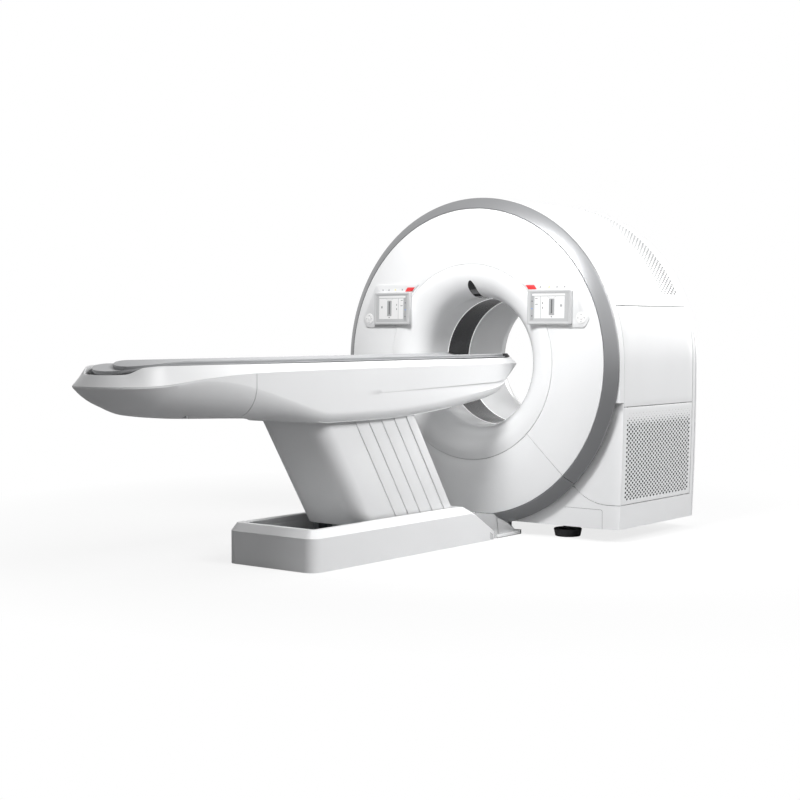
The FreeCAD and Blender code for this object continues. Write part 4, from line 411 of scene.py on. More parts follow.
def dress(name, part, nodes, slot, look, body="base", wall=0.0, bevel=0.0, crease=30):
    """Puts a part into a mesh object with its wall and edge rounding, finish, body and CAD nodes."""
    points, faces = weld(part)
    mesh = bpy.data.meshes.new(name)
    corners = np.concatenate([block.ravel() for block in faces])
    sizes = np.concatenate([np.full(len(block), block.shape[1]) for block in faces])
    mesh.vertices.add(len(points))
    mesh.vertices.foreach_set("co", place(points).ravel())
    mesh.loops.add(len(corners))
    mesh.loops.foreach_set("vertex_index", corners)
    mesh.polygons.add(len(sizes))
    mesh.polygons.foreach_set("loop_start", np.concatenate([[0], np.cumsum(sizes)[:-1]]))
    mesh.update(calc_edges=True)
    mesh.validate()
    piece = bpy.data.objects.new(name, mesh)
    bpy.context.scene.collection.objects.link(piece)
    if wall:
        shell = piece.modifiers.new("wall", "SOLIDIFY")
        shell.thickness, shell.offset, shell.use_even_offset = wall * MM, -1, False
    if bevel:
        edge = piece.modifiers.new("edge", "BEVEL")
        edge.width, edge.segments = bevel * MM, 2
        edge.limit_method, edge.angle_limit = "ANGLE", math.radians(40)
    if wall or bevel:
        depsgraph = bpy.context.evaluated_depsgraph_get()
        made = bpy.data.meshes.new_from_object(piece.evaluated_get(depsgraph))
        piece.modifiers.clear()
        piece.data = made
        bpy.data.meshes.remove(mesh)
        mesh, made.name = made, name
    mesh.shade_smooth()
    mesh.set_sharp_from_angle(angle=math.radians(crease))
    mesh.materials.clear()
    mesh.materials.append(FINISHES[look])
    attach(piece, body)
    if nodes:
        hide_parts(*nodes)


# ---------------------------------------------------------------- gantry covers

def half_width(z, inset=0.0):
    """How far out the side stands at a height below the axis: R - inset - (S - sqrt(S^2 - z^2))."""
    side = SIDE_RADIUS - inset
    return RADIUS - inset - (side - np.sqrt(side * side - z * z))


def arch_point(t, inset=0.0):
    """Point of the gantry's outline t mm on from the right end of its half circle; below it t is minus
    the depth, past the left end the depth is added, and after that the bottom edge runs back to the right."""
    t = np.asarray(t, float)
    over = math.pi * RADIUS
    angle = np.clip(t, 0, over) / RADIUS
    drop = np.clip(np.where(t < 0, -t, t - over), 0, -COVER_LOW)
    way = np.where(np.cos(angle) < 0, -1.0, 1.0)
    x = (RADIUS - inset) * np.cos(angle) * (drop == 0) + way * half_width(drop, inset) * (drop > 0)
    z = (RADIUS - inset) * np.sin(angle) - drop
    past = t - over + COVER_LOW
    foot = half_width(-COVER_LOW, inset)
    share = np.clip(past / (2 * half_width(-COVER_LOW)), 0, 1)
    return np.where(past > 0, -foot + 2 * foot * share, x), z


def cells(ys, ts, keep):
    """A flat lattice over two sets of lines, with only the cells whose middle is kept."""
    ys, ts = np.asarray(ys, float), np.asarray(ts, float)
    middle_y, middle_t = np.meshgrid((ys[1:] + ys[:-1]) / 2, (ts[1:] + ts[:-1]) / 2, indexing="ij")
    quads = lattice(len(ys), len(ts))[keep(middle_y, middle_t).ravel()][:, ::-1]
    used, where = np.unique(quads, return_inverse=True)
    return grid(ys[:, None], ts, 0.0).reshape(-1, 3)[used], [where.reshape(quads.shape)]


def pierced(field, shrink):
    """A flat field (low y, high y, low t, high t) of staggered holes, and the lines that meet its edges.
    Rhombs tile the field; each has an eight-sided hole in its middle, whose size is multiplied by
    shrink(y, t), and half rhombs close the field's edges."""
    size = bpy.context.scene.scanner_sizes
    low_y, high_y, low_t, high_t = field
    columns = 2 * int(round((high_y - low_y) / (size.hole_pitch / MM)))
    rows = 2 * int(round((high_t - low_t) / (size.hole_rise / MM)))
    step_y, step_t = (high_y - low_y) / columns, (high_t - low_t) / rows
    i, j = np.meshgrid(np.arange(columns + 1), np.arange(rows + 1), indexing="ij")
    flat = grid(low_y + i * step_y, low_t + j * step_t, 0.0).reshape(-1, 3)
    number = i * (rows + 1) + j
    inner = ((i + j) % 2 == 1) & (i > 0) & (i < columns) & (j > 0) & (j < rows)
    ci, cj = i[inner], j[inner]
    around = [number[ci + 1, cj], number[ci, cj + 1], number[ci - 1, cj], number[ci, cj - 1]]
    middle = flat[number[ci, cj]]
    turn = np.arange(8) * math.pi / 4
    ring = grid(size.hole_wide / MM / 2 * np.cos(turn), size.hole_high / MM / 2 * np.sin(turn), 0.0)
    holes = middle[:, None] + ring[None] * shrink(middle[:, 0], middle[:, 1])[:, None, None]
    base = len(flat) + 8 * np.arange(len(middle))
    quads, wedges = [], []
    for k in range(4):
        here, after = around[k], around[(k + 1) % 4]
        v0, v1, v2 = base + 2 * k, base + 2 * k + 1, base + (2 * k + 2) % 8
        quads.append(grid(here, after, v2, v1))
        wedges.append(grid(here, v1, v0))
    odd = np.arange(1, rows, 2)
    wedges.append(grid(number[0, odd - 1], number[1, odd], number[0, odd + 1]))
    wedges.append(grid(number[columns, odd + 1], number[columns - 1, odd], number[columns, odd - 1]))
    odd = np.arange(1, columns, 2)
    wedges.append(grid(number[odd + 1, 0], number[odd, 1], number[odd - 1, 0]))
    wedges.append(grid(number[odd - 1, rows], number[odd, rows - 1], number[odd + 1, rows]))
    points = np.concatenate([flat, holes.reshape(-1, 3)])
    blocks = [np.concatenate(quads), np.concatenate(wedges)]
    used, where = np.unique(np.concatenate([b.ravel() for b in blocks]), return_inverse=True)
    cut = blocks[0].size
    part = points[used], [where.ravel()[:cut].reshape(-1, 4), where.ravel()[cut:].reshape(-1, 3)]
    return part, np.linspace(low_y, high_y, columns + 1)[::2], np.linspace(low_t, high_t, rows + 1)[::2]


def within(y, t, field):
    """Whether a point lies inside a field (low y, high y, low t, high t)."""
    return (y > field[0]) & (y < field[1]) & (t > field[2]) & (t < field[3])


def roll(distance, size):
    """How far an edge drops away at a distance from it: a quarter round of the given size."""
    reach = np.clip(distance / size, 0, 1)
    return size * (1 - np.sqrt(np.clip(1 - (1 - reach) ** 2, 0, 1)))


def edge_size():
    return bpy.context.scene.scanner_sizes.edge_roll / MM


def on_arch(part, low_y, high_y, ends=None):
    """Lifts a flat (y, t) part onto the gantry's outline; its edges roll in by a quarter round."""
    flat, faces = part
    y, t = flat[:, 0], flat[:, 1]
    inset = roll(np.minimum(y - low_y, high_y - y), edge_size())
    if ends:
        near = np.minimum(np.abs(t - ends[0]), np.abs(t - ends[1]))
        inset = np.maximum(inset, roll(near, edge_size()))
    x, z = arch_point(t, inset)
    return outward((grid(x, y, z), faces), CORE)


def arc_at(z):
    """Outline parameter of a height above the axis on the right side."""
    return RADIUS * math.asin(z / RADIUS)


def steps(*stops):
    """Lines from stop to stop; each later stop is (value, how many steps lead to it)."""
    line = [np.array([stops[0]], float)]
    for value, count in stops[1:]:
        line.append(np.linspace(line[-1][-1], value, count + 1)[1:])
    return np.concatenate(line)


def near_edges(lines, low, high):
    """The same lines with more of them where an edge rolls in at both ends."""
    extra = edge_size() * np.array([0.12, 0.3, 0.6, 1.0])
    return np.unique(np.round(np.concatenate([lines, low + extra, high - extra]), 5))


def dome():
    """The big arched cover: outline x depth, open over the side panels, pierced by a band of holes, with a
    crescent behind the trim ring's sides."""
    low, high, (front, back) = DOME_FRONT, COVER_END, VENT_BAND
    start, end = [RADIUS * math.radians(angle) for angle in VENT_ARC]
    panel_back, panel_top = PANEL[1] + JOINT, PANEL[3] + JOINT

    def kept(y, t):
        z = arch_point(t)[1]
        opening = (y > SIDE_FRONT) & (y < panel_back) & (z < panel_top)
        corner = (y < SIDE_FRONT) & (z < CORNER_TOP)
        return ~(opening | corner | within(y, t, (front, back, start, end)))

    def shrink(y, t):
        up = 1 - np.abs(2 * (t - start) / (end - start) - 1)
        slant = (y - front) / (back - front)
        return np.clip(1.2 - 0.55 * (1 - slant) - 0.35 * up, 0.28, 1)

    holes, band_y, band_t = pierced((front, back, start, end), shrink)
    before, behind = steps(low, (SIDE_FRONT, 2), (front, 6))[:-1], steps(back, (panel_back, 2), (high, 2))[1:]
    ys = near_edges(np.concatenate([before, band_y, behind]), low, high)
    right = steps(SKIRT_TOP, (CORNER_TOP, 8), (0, 5), (arc_at(panel_top), 8), (start, 4))[:-1]
    ts = np.concatenate([right, band_t, (math.pi * RADIUS - right)[::-1]])
    drop, across = np.linspace(0, 200, 21)[:, None], np.linspace(0, 1, 3)
    ring_side = np.sqrt((RADIUS - 8) ** 2 - drop ** 2)
    lip = grid(half_width(drop, edge_size()) * across + ring_side * (1 - across), low, -drop)
    field = on_arch(weld(join(cells(ys, ts, kept), holes)), low, high)
    return join(field, pair(sheet(lip, CORE)))


def shade_screen(low_y, high_y, low_t, high_t, inset=13.0):
    """A plain sheet behind a pierced field: the gantry's outline moved in. Its near-black finish is painted
    shade, the dark of the gantry's inside seen through the holes.
    """
    x, z = arch_point(np.linspace(low_t, high_t, 60), inset)
    return sheet(grid(x, np.array([[low_y], [high_y]]), z), CORE)


def side_panel():
    """A plain side panel on the right: outline x depth between its four edges, all rolled in."""
    low, high = PANEL[2], arc_at(PANEL[3])
    ys = near_edges(steps(PANEL[0], (PANEL[1], 12)), *PANEL[:2])
    ts = near_edges(steps(low, (0, 6), (high, 12)), low, high)
    return on_arch(cells(ys, ts, lambda y, t: y > 0), *PANEL[:2], (low, high))


def grille():
    """A pierced side grille on the right; its upper rows of holes grow from small to full size."""
    low, high = SKIRT_TOP + JOINT, PANEL[2] - JOINT
    field = (PANEL[0] + 24, PANEL[1] - 14, low + 16, high - 22)
    holes, band_y, band_t = pierced(field, lambda y, t: np.clip((field[3] - t) / 75, 0.3, 1))
    ys = near_edges(np.concatenate([[PANEL[0]], band_y, [PANEL[1]]]), *PANEL[:2])
    ts = near_edges(np.concatenate([[low], band_t, [high]]), low, high)
    border = cells(ys, ts, lambda y, t: ~within(y, t, field))
    return on_arch(weld(join(border, holes)), *PANEL[:2], (low, high))


def lower_plan(front):
    """The lower covers' plan on the right as rows of (inward, share, y): straight side, quarter ellipse,
    flat front; x = (half width - inward) * share."""
    turn = quarter(13)[1:]
    side = steps(COVER_END, (600, 4), (300, 5), (70, 6), (SIDE_FRONT, 2), (FRONT_PLATE + CORNER_DEEP, 1))
    bend = grid(CORNER_WIDE * (1 - np.cos(turn)), 1.0, FRONT_PLATE + CORNER_DEEP * (1 - np.sin(turn)))
    return np.concatenate([grid(0.0, 1.0, side), bend, grid(CORNER_WIDE, front, FRONT_PLATE)])


def seam_height(x):
    """Height of the skirt's top seam: level outside, then rising on a round of 271 mm to the ring."""
    run = np.clip(SEAM_FLAT - np.abs(x), 0, SEAM_FLAT - SEAM_RISE)
    return SKIRT_TOP + SKIRT_ROUND - np.sqrt(SKIRT_ROUND ** 2 - run ** 2)


def ring_height(x):
    """Height of the opening for the trim ring, on a circle 47 mm inside the rim."""
    inner = RADIUS - 47
    return -np.sqrt(np.clip(inner * inner - x * x, 0, None))


def lower_grid(plan, low, high, rows):
    """Points of the lower covers between two heights, each given as a function of x and y."""
    inward, share, y = plan.T
    top = bottom = np.full(len(plan), SKIRT_TOP)
    for _ in range(6):
        top = high((half_width(-top) - inward) * share, y)
        bottom = low((half_width(-bottom) - inward) * share, y)
    z = bottom[:, None] + (top - bottom)[:, None] * np.linspace(0, 1, rows)
    x = (half_width(-z) - inward[:, None]) * share[:, None]
    return sheet(grid(x, y[:, None], z), (0, 400, -500))


def skirt():
    """The right half of the skirt, from the floor gap up to its seam, cut out for the ring."""
    def high(x, y):
        front = np.minimum(seam_height(x), ring_height(x))
        return np.where(y >= SIDE_FRONT, SKIRT_TOP, front)

    plan = lower_plan(np.concatenate([np.linspace(0.99, 0.04, 40), [0.0]]))
    return lower_grid(plan, lambda x, y: 0 * x + COVER_LOW, high, 12)


def front_corner():
    """The right front corner between the skirt's seam and the dome, cut out for the ring."""
    def high(x, y):
        top = CORNER_TOP - JOINT
        return np.minimum(top, np.where(x < 815, ring_height(x), top))

    def low(x, y):
        return np.minimum(seam_height(x) + JOINT, high(x, y) - 1)

    plan = lower_plan(np.linspace(0.99, 0.69, 24))
    return lower_grid(plan[plan[:, 2] <= SIDE_FRONT + 0.01], low, high, 24)


def hatch_line():
    """The service hatch's joint on the skirt's front: a thin dark strip round a rounded rectangle, open
    at the bottom edge."""
    outer = rounded([(545, -857.5), (773, -857.5), (773, -757, 9), (545, -757, 4)], 6)
    inner = rounded([(546.6, -857.5), (771.4, -857.5), (771.4, -758.6, 8), (546.6, -758.6, 3)], 6)
    flat = np.concatenate([outer[1:], inner[1:][::-1], inner[:1], outer[:1]])
    return solid([upright(flat, y) for y in (FRONT_PLATE + 0.5, FRONT_PLATE - 0.25)])


def rear_cover():
    """The back cover: its rim runs back, turns in on a round of 45 mm, then lies flat to the bore's hole."""
    size, over, foot = 45.0, math.pi * RADIUS, half_width(-COVER_LOW)
    left = over + steps(0, (-COVER_LOW, 14))[1:]
    arch = np.concatenate([steps(COVER_LOW, (0, 14)), np.linspace(0, over, 145)[1:], left])
    turn = quarter(10)
    y = np.concatenate([[BACK - 47], BACK - size + size * np.sin(turn)])
    inset = np.concatenate([[0.0], size * (1 - np.cos(turn))])
    x, z = arch_point(*np.broadcast_arrays(arch[:, None], inset))
    rim = sheet(grid(x, y, z), CORE)
    bottom = over - COVER_LOW + np.linspace(0, 2 * foot, 41)[1:-1]
    x, z = arch_point(np.concatenate([arch, bottom]), size)
    angle, hole = np.arctan2(z, x), BORE + FLARE + GAP
    share = np.linspace(0, 1, 8)
    flat = grid(x[:, None] * (1 - share) + (hole * np.cos(angle))[:, None] * share, BACK,
                z[:, None] * (1 - share) + (hole * np.sin(angle))[:, None] * share)
    return join(rim, sheet(flat, CORE, loop_rows=True))


class SCANNER_OT_covers(bpy.types.Operator):
    """Build the dome, side panels, grilles, corners, skirt and rear cover"""
    bl_idname = "scanner.covers"
    bl_label = "Gantry Covers"

    def execute(self, context):
        white = ("cover_white", "moulded_cover")
        dress("dome_cover_skin", dome(), ["dome_cover"], *white, wall=2.5)
        dress("side_panel_skins", pair(side_panel()), ["side_panels"], *white, wall=WALL)
        dress("vent_grille_skins", pair(grille()), ["vent_grilles"], *white, wall=2.5)
        dress("front_corner_skins", pair(front_corner()), ["front_corners"], *white, wall=WALL)
        # near-black sheets behind the pierced fields: painted shade seen through the holes
        side = shade_screen(PANEL[0] + 14, PANEL[1] - 8, SKIRT_TOP + 12, PANEL[2] - 14)
        start, end = [RADIUS * math.radians(angle) for angle in (VENT_ARC[0] - 2, VENT_ARC[1] + 2)]
        over = shade_screen(VENT_BAND[0] - 7, VENT_BAND[1] + 7, start, end)
        dress("painted_shade_screens", join(pair(side), over), [], "cover_white", "vent_painted_shade", wall=1.5)
        dress("skirt_skin", pair(skirt()), ["skirt"], *white, wall=WALL)
        dress("hatch_joint", pair(hatch_line()), [], "cover_white", "print_grey")
        dress("rear_cover_skin", rear_cover(), ["rear_cover"], *white, wall=WALL)
        return {"FINISHED"}


# ---------------------------------------------------------------- ring and bore

def ring_section(edge):
    """The trim ring's section: a slope from the rim forward to its inner edge, with soft edges."""
    return rounded([
        (-47, 827, edge), (0, 887, edge), (16, 887, 1), (16, 880), (3.5, 880), (-40, 827),
    ])


def dish_section():
    """The front cover's section: a shallow cone that rises towards the bore."""
    return rounded([(-45, 826, 2), (-62, 529.6, 2), (-56, 529.6), (-39, 826)], 3)


def flare_arcs(middle, along, inward):
    """Both faces of a flare's wall: two rounds about the middle of its bend, whose points lie along the
    bore and inward by the given shares of the round's size."""
    return [grid(middle + size * along, BORE + FLARE - size * inward) for size in (FLARE, FLARE - WALL)]


def flare_section():
    """The front flare's section: flat lip, quarter round of 140 mm, straight throat."""
    turn, end = quarter(41), BANDS[0][0] - GAP
    outer, inner = flare_arcs(FACE + FLARE, -np.cos(turn), np.sin(turn))
    lip = rounded([(FACE, DISH - 20), (FACE, DISH, 2), (FACE + WALL, DISH)], 3)[1:]
    return np.concatenate([lip[::-1], outer, [(end, BORE), (end, BORE + WALL)], inner[::-1]])


def rear_flare_section():
    """The rear flare's section: a quarter round of 140 mm."""
    turn = quarter(37)
    outer, inner = flare_arcs(REAR_FLARE, np.sin(turn), np.cos(turn))
    return np.concatenate([outer, inner[::-1]])


def tube(start, end, inner, outer):
    """A ring of rectangular section about the bore's axis."""
    return revolve([(start, inner), (end, inner), (end, outer), (start, outer)])


def laser_strip():
    """The dark window at the top of the flare: a strip 50 mm wide that follows the flare's section, a
    hair inside it, with a half round head."""
    half, lift, bend, front, back = 25.0, 0.8, FACE + FLARE, -55.0, 205.0
    head = math.acos((bend - front) / FLARE)
    turn = head + (math.pi / 2 - head) * np.linspace(0, 1, 33) ** 1.6
    y = np.concatenate([bend - (FLARE + lift) * np.cos(turn), np.linspace(bend, back, 9)[1:]])
    r = np.concatenate([BORE + FLARE - (FLARE + lift) * np.sin(turn), np.full(8, BORE - lift)])
    reach = np.clip((y - y[0]) / half, 0, 1)
    wide = half * np.sqrt(np.clip(1 - (1 - reach) ** 2, 0.0015, 1))
    x = wide[:, None] * np.linspace(-1, 1, 17)
    return sheet(grid(x, y[:, None], np.sqrt(r[:, None] ** 2 - x ** 2)), (0, -300, 900))


class SCANNER_OT_front(bpy.types.Operator):
    """Build the trim ring, the front cover and the bore's flares, window, bands and liner"""
    bl_idname = "scanner.front"
    bl_label = "Ring and Bore"

    def execute(self, context):
        edge = context.scene.scanner_sizes.ring_edge / MM
        white = ("front_white", "gloss_front")
        for name, start, end in (("upper", -44.9, 224.9), ("lower", -134.9, -45.1)):
            ring, dish = revolve(ring_section(edge), start, end), revolve(dish_section(), start, end)
            dress(f"trim_ring_{name}_band", ring, [f"trim_ring_{name}"], "ring_silver", "satin_ring")
            dress(f"front_cover_{name}_skin", dish, [f"front_cover_{name}"], *white)
        dress("front_flare_skin", revolve(flare_section()), ["front_flare"], *white)
        lip = BORE - 1.4
        bands = [revolve(rounded([(a, lip, 1.2), (b, lip, 1.2), (b, BORE + WALL), (a, BORE + WALL)], 3))
                 for a, b in BANDS]
        dress("window_band_rings", join(*bands), ["window_bands"], "band_bright", "white_band_painted_glow")
        film = tube(BANDS[0][1] + GAP, BANDS[1][0] - GAP, BORE + 0.5, BORE + 2)
        dress("scan_window_film", film, ["scan_window"], "window_dark", "scan_window_film")
        liner = tube(BANDS[1][1] + GAP, REAR_FLARE - GAP, BORE, BORE + WALL)
        dress("bore_liner_tube", liner, ["bore_liner"], "liner_grey", "liner_grey")
        dress("rear_flare_skin", revolve(rear_flare_section()), ["rear_flare"], *white)
        dress("laser_window_strip", laser_strip(), ["laser_window"], "laser_black", "laser_slot", wall=0.6)
        return {"FINISHED"}


# ---------------------------------------------------------------- control pads

# the front cover's rise towards the bore, and the radius where that cone starts
DISH_START = RADIUS - 60.3
DISH_SLOPE = 17 / (DISH_START - DISH - GAP)
PAD_TILT = math.atan(DISH_SLOPE)
PAD_SPOT = (545.0, 305.0)
STOP = [(-161, 81), (-110, 81), (-127, 103), (-178, 103)]
JOG = (155, -70)
# depths in the pad's frame: its face, the jog ring's face and the display's glass; prints stand 0.25 proud
PAD_FACE, JOG_FACE, GLASS, PRINT = -4.0, -6.0, -21.6, 0.25


def on_pad(part, side):
    """A part drawn in the pad's plane (x out, y to the back, z up) turned onto the sloping front cover:
    by the cone's slope about the axis (-z, 0, x) through the pad's middle, then mirrored for the left."""
    points, faces = part
    axis = Vector((-PAD_SPOT[1], 0, PAD_SPOT[0])).normalized()
    turn = np.array(Matrix.Rotation(PAD_TILT, 3, axis))
    front = 2 - 47 - DISH_SLOPE * (DISH_START - math.hypot(*PAD_SPOT)) - GAP
    moved = (points @ turn.T + (PAD_SPOT[0], front, PAD_SPOT[1]), faces)
    return moved if side > 0 else mirror(moved)


def slab(outline, depth, holes=()):
    """A flat face at a depth in the pad's frame with its holes; its wall is added behind it."""
    flat, faces = plate(outline, holes)
    return outward((upright(flat, depth), faces), (0, 1000, 0))


def ring_line(x, z, radius, count=40):
    """A circle in the pad's plane."""
    turn = circle(count)
    return grid(x + radius * np.cos(turn), z + radius * np.sin(turn))


def disc(x, z, radius, low, high, edge, count=40):
    """A round button: loops of one circle that rise, turn in on a small round and close."""
    soft = quarter(5)
    radii = np.concatenate([[radius], radius - edge * (1 - np.cos(soft))])
    depth = np.concatenate([[low], high + edge * (1 - np.sin(soft))])
    return solid([upright(ring_line(x, z, r, count), y) for r, y in zip(radii, depth)])


def display_box(rings):
    """The display's rounded rectangle, moved in by each ring's inset and set at its depth."""
    loops = []
    for inset, y in rings:
        size = max(8 - inset, 0.6)
        line = rounded_box(-157 + inset, -104 + inset, 104 - inset, 76 - inset, size, size, 5)
        loops.append(upright(line, y))
    return solid(loops)


def pad_outline():
    """The pad's outline: an arc beside the flare's seam, four soft corners."""
    start, end, radius = np.array((-37.0, -119.0)), np.array((-206.0, 119.0)), DISH + 13
    middle, way = (start + end) / 2, end - start
    chord = np.hypot(*way)
    off = np.array((way[1], -way[0])) / chord * math.sqrt(radius ** 2 - chord ** 2 / 4)
    centre = min(middle - off, middle + off, key=lambda spot: np.hypot(*(spot + PAD_SPOT)))
    a0, a1 = [math.atan2(*(p - centre)[::-1]) for p in (start, end)]
    turn = np.linspace(a0, a1, 24)
    arc = centre + radius * grid(np.cos(turn), np.sin(turn))
    rest = rounded([(-206, 119), (108, 119, 22), (204, -69, 34), (175, -119, 26), (-37, -119)], 6)
    return np.concatenate([arc[:-1], rest[:-1]])


def tab(x0, z0, x1, z1, back, front):
    """A thin rectangle in the pad's frame."""
    return solid([upright([(x0, z0), (x1, z0), (x1, z1), (x0, z1)], y) for y in (back, front)])


def icons(side):
    """Plain printed marks on the pad: a small bar with a triangle for each key, the second one yellow."""
    grey, yellow = [], []
    depths = (PAD_FACE, PAD_FACE - PRINT)
    for number, x in enumerate((-89, -37, 10, 55)):
        marks = yellow if number == 1 else grey
        marks.append(tab(x - 5, 88, x + 5, 90.5, *depths))
        marks.append(solid([upright([(x - 4, 92), (x + 4, 92), (x + 2, 97)], y) for y in depths]))
    for x, z in ((155, -51), (155, -89), (136, -70), (174, -70)):
        grey.append(tab(x - 4, z - 1, x + 4, z + 1.4, JOG_FACE, JOG_FACE - PRINT))
    return on_pad(join(*grey), side), on_pad(join(*yellow), side)


# the display's picture: look -> thin fields (x0, z0, x1, z1, front depth)
SCREEN = {
    "screen_pale": [(-128, 46, 68, 56, -21.95), (-112, -72, -78, 42, -21.95), (-74, -72, 66, 42, -21.95)],
    "screen_grey": [(-135, -82, -118, 58, -21.8), (-26, -56, 6, 30, -22.05), (40, -12, 52, 0, -22.05)],
    "screen_dark": [
        (-130, 14, -124, 21, -22.05), (-130, -62, -124, -56, -22.05), (-108, 30, -94, 33, -22.1),
        (-108, 0, -92, 3, -22.1), (-66, 2, -62, 12, -22.1), (-66, -22, -62, -12, -22.1),
        (-14, -66, -6, -61, -22.1), (-14, -46, -6, 26, -22.1)],
    "screen_blue": [(-130, -24, -124, -18, -22.05)],
}


def screens(side):
    """The display's picture in plain fields: a header, a column of marks, two pale panels and an outline
    of a table seen from above with a ring round its head."""
    turn = np.radians(np.linspace(200, 340, 19))
    arcs = [grid(-10 + radius * np.cos(turn), 44 + radius * 0.35 * np.sin(turn)) for radius in (26, 28.5)]
    ring = np.concatenate([arcs[0], arcs[1][::-1]])
    for look, fields_seen in SCREEN.items():
        parts = [tab(*row[:4], GLASS, row[4]) for row in fields_seen]
        if look == "screen_grey":
            parts.append(solid([upright(ring, y) for y in (GLASS, -22.1)]))
        yield look, on_pad(join(*parts), side)


class SCANNER_OT_pads(bpy.types.Operator):
    """Build both control pads with their displays, keys and plain printed marks"""
    bl_idname = "scanner.pads"
    bl_label = "Control Pads"

    def execute(self, context):
        glass = []
        hole = ring_line(*JOG, 9.3)
        gap = np.array(STOP) + [(-0.4, -0.4), (0.4, -0.4), (0.4, 0.4), (-0.4, 0.4)]
        case = display_box([(0, -4.3), (0, -19.3), (0.5, -20.8), (1.5, -21.9), (3, -22.3), (14, -22.3),
                            (15, -21.8), (15, -18.4)])
        pane = display_box([(15.2, -18.7), (15.2, -21.5), (15.4, -21.7)])
        for name, side in (("right", 1), ("left", -1)):
            def put(piece, part, node, slot, look, **more):
                nodes = [f"{node}_{name}"] if node else []
                dress(piece.replace("*", name), on_pad(part, side), nodes, slot, look, **more)

            put("control_pad_*_plate", slab(pad_outline(), PAD_FACE, [hole, gap]), "control_pad", "pad_grey",
                "pad_plate", wall=4, bevel=0.7)
            put("jog_ring_*", slab(ring_line(*JOG, 30), JOG_FACE, [hole]), "", "pad_grey", "key_white",
                wall=2.2, bevel=0.8)
            put("display_*_case", case, "display", "display_case", "display_case", crease=25)
            glass.append(on_pad(pane, side))
            put("stop_key_*_cap", solid([upright(STOP, y) for y in (-1.7, -6.5)]), "stop_key", "stop_red",
                "stop_red", body=f"stop_key_{name}", bevel=0.8)
            put("jog_key_*_cap", disc(*JOG, 9, -1.7, -8.5, 1.2), "jog_key", "key_white", "key_white",
                body=f"jog_key_{name}")
            grey, yellow = icons(side)
            dress(f"pad_marks_{name}", grey, [], "pad_grey", "print_grey")
            dress(f"pad_lamp_{name}", yellow, [], "pad_grey", "print_yellow")
            for look, part in screens(side):
                dress(f"{look}_fields_{name}", part, [], "display_glass", look)
        dress("display_glass_panes", join(*glass), ["display_glasses"], "display_glass", "display_screen")
        return {"FINISHED"}


# ---------------------------------------------------------------- feet

class SCANNER_OT_feet(bpy.types.Operator):
    """Build the levelling feet under the gantry"""
    bl_idname = "scanner.feet"
    bl_label = "Levelling Feet"

    def execute(self, context):
        up, r = rounded([(0, 67, 4), (42, 76, 5), (42, 24.5), (165, 24), (165, 9.4), (0, 9.4)], 4).T
        turn = circle(56)[:, None]
        feet = [solid(grid(x + r * np.cos(turn), y + r * np.sin(turn), up + FLOOR), True)
                for x in (-500, 500) for y in (150, 700)]
        dress("levelling_feet_pads", join(*feet), ["levelling_feet"], "foot_iron", "foot_rubber")
        return {"FINISHED"}


# ---------------------------------------------------------------- table base and bridge

BASE_HALF, BASE_FAR, BASE_NEAR, BASE_TOP = 275.0, -1650.0, -178.0, -733.0
SLOPE_TOP, SLOPE_FOOT = -462.0, -905.0
RIM_WIDE, RIM_HIGH = 28.0, 36.0


def slope(y):
    """Height of the base's top: level, then falling in a straight slope towards the gantry."""
    fall = (BASE_TOP - SLOPE_FOOT) / (BASE_NEAR - SLOPE_TOP)
    return np.minimum(BASE_TOP, BASE_TOP - fall * (y - SLOPE_TOP))


def long_plan(half, far, near, size, count=10):
    """A rectangle in plan with rounded corners and extra points along its long sides."""
    line = rounded([(half, near, size), (half, far, size), (-half, far, size), (-half, near, size)], count)
    pieces = []
    for point, end in zip(line, np.roll(line, -1, 0)):
        stops = 28 if np.hypot(*(end - point)) > 120 else 1
        pieces.append(point + (end - point) * np.linspace(0, 1, stops, endpoint=False)[:, None])
    return np.concatenate(pieces)


def base_plan(inset):
    """The base's plan moved in by an inset."""
    return long_plan(BASE_HALF - inset, BASE_FAR + inset, BASE_NEAR - inset, 60 - inset)


def base_cover():
    """The table's base: upright walls, a chamfered rim, a level top and a front slope, open over the
    trough."""
    outer, inner = base_plan(0.0), base_plan(RIM_WIDE)
    top = slope(outer[:, 1])
    side_top = np.minimum(BASE_TOP - RIM_HIGH, top)
    share = np.clip((top - (BASE_TOP - RIM_HIGH)) / RIM_HIGH, 0.03, 1)[:, None]
    rim = outer * (1 - share) + inner * share
    rim_z = slope(rim[:, 1])
    middle = level(outer * 0.5 + rim * 0.5, np.minimum((side_top + rim_z) / 2, top))
    rows = [level(outer, FLOOR), level(outer, side_top - 0.8), middle, level(rim, rim_z)]
    walls = sheet(np.stack(rows), (0, -900, -850), loop_columns=True)
    hole = rounded([(222, -478, 14), (222, -1592, 26), (-222, -1592, 26), (-222, -478, 14)], 6)
    flat, faces = plate(rim, [hole], bend=((-246.5, SLOPE_TOP), (246.5, SLOPE_TOP)))
    return join(walls, outward((level(flat, slope(flat[:, 1])), faces), (0, -900, -900)))


def ramp():
    """The trough's ramp: a thin slab that falls from the far end of the opening."""
    y, z = np.array([(-1604, -739.2), (-1592, -739.2), (-1290, -846), (-1290, -849), (-1604, -742.5)]).T
    return solid([grid(x, y, z) for x in (-221.5, 221.5)])


# the bridge cover's bent line as depth and height above the floor, and its half width
BRIDGE = [(-372, 157), (-201, 135), (-173, 116), (-60, 71), (-8, 33), (61, 22)]
BRIDGE_HALF = 262.0


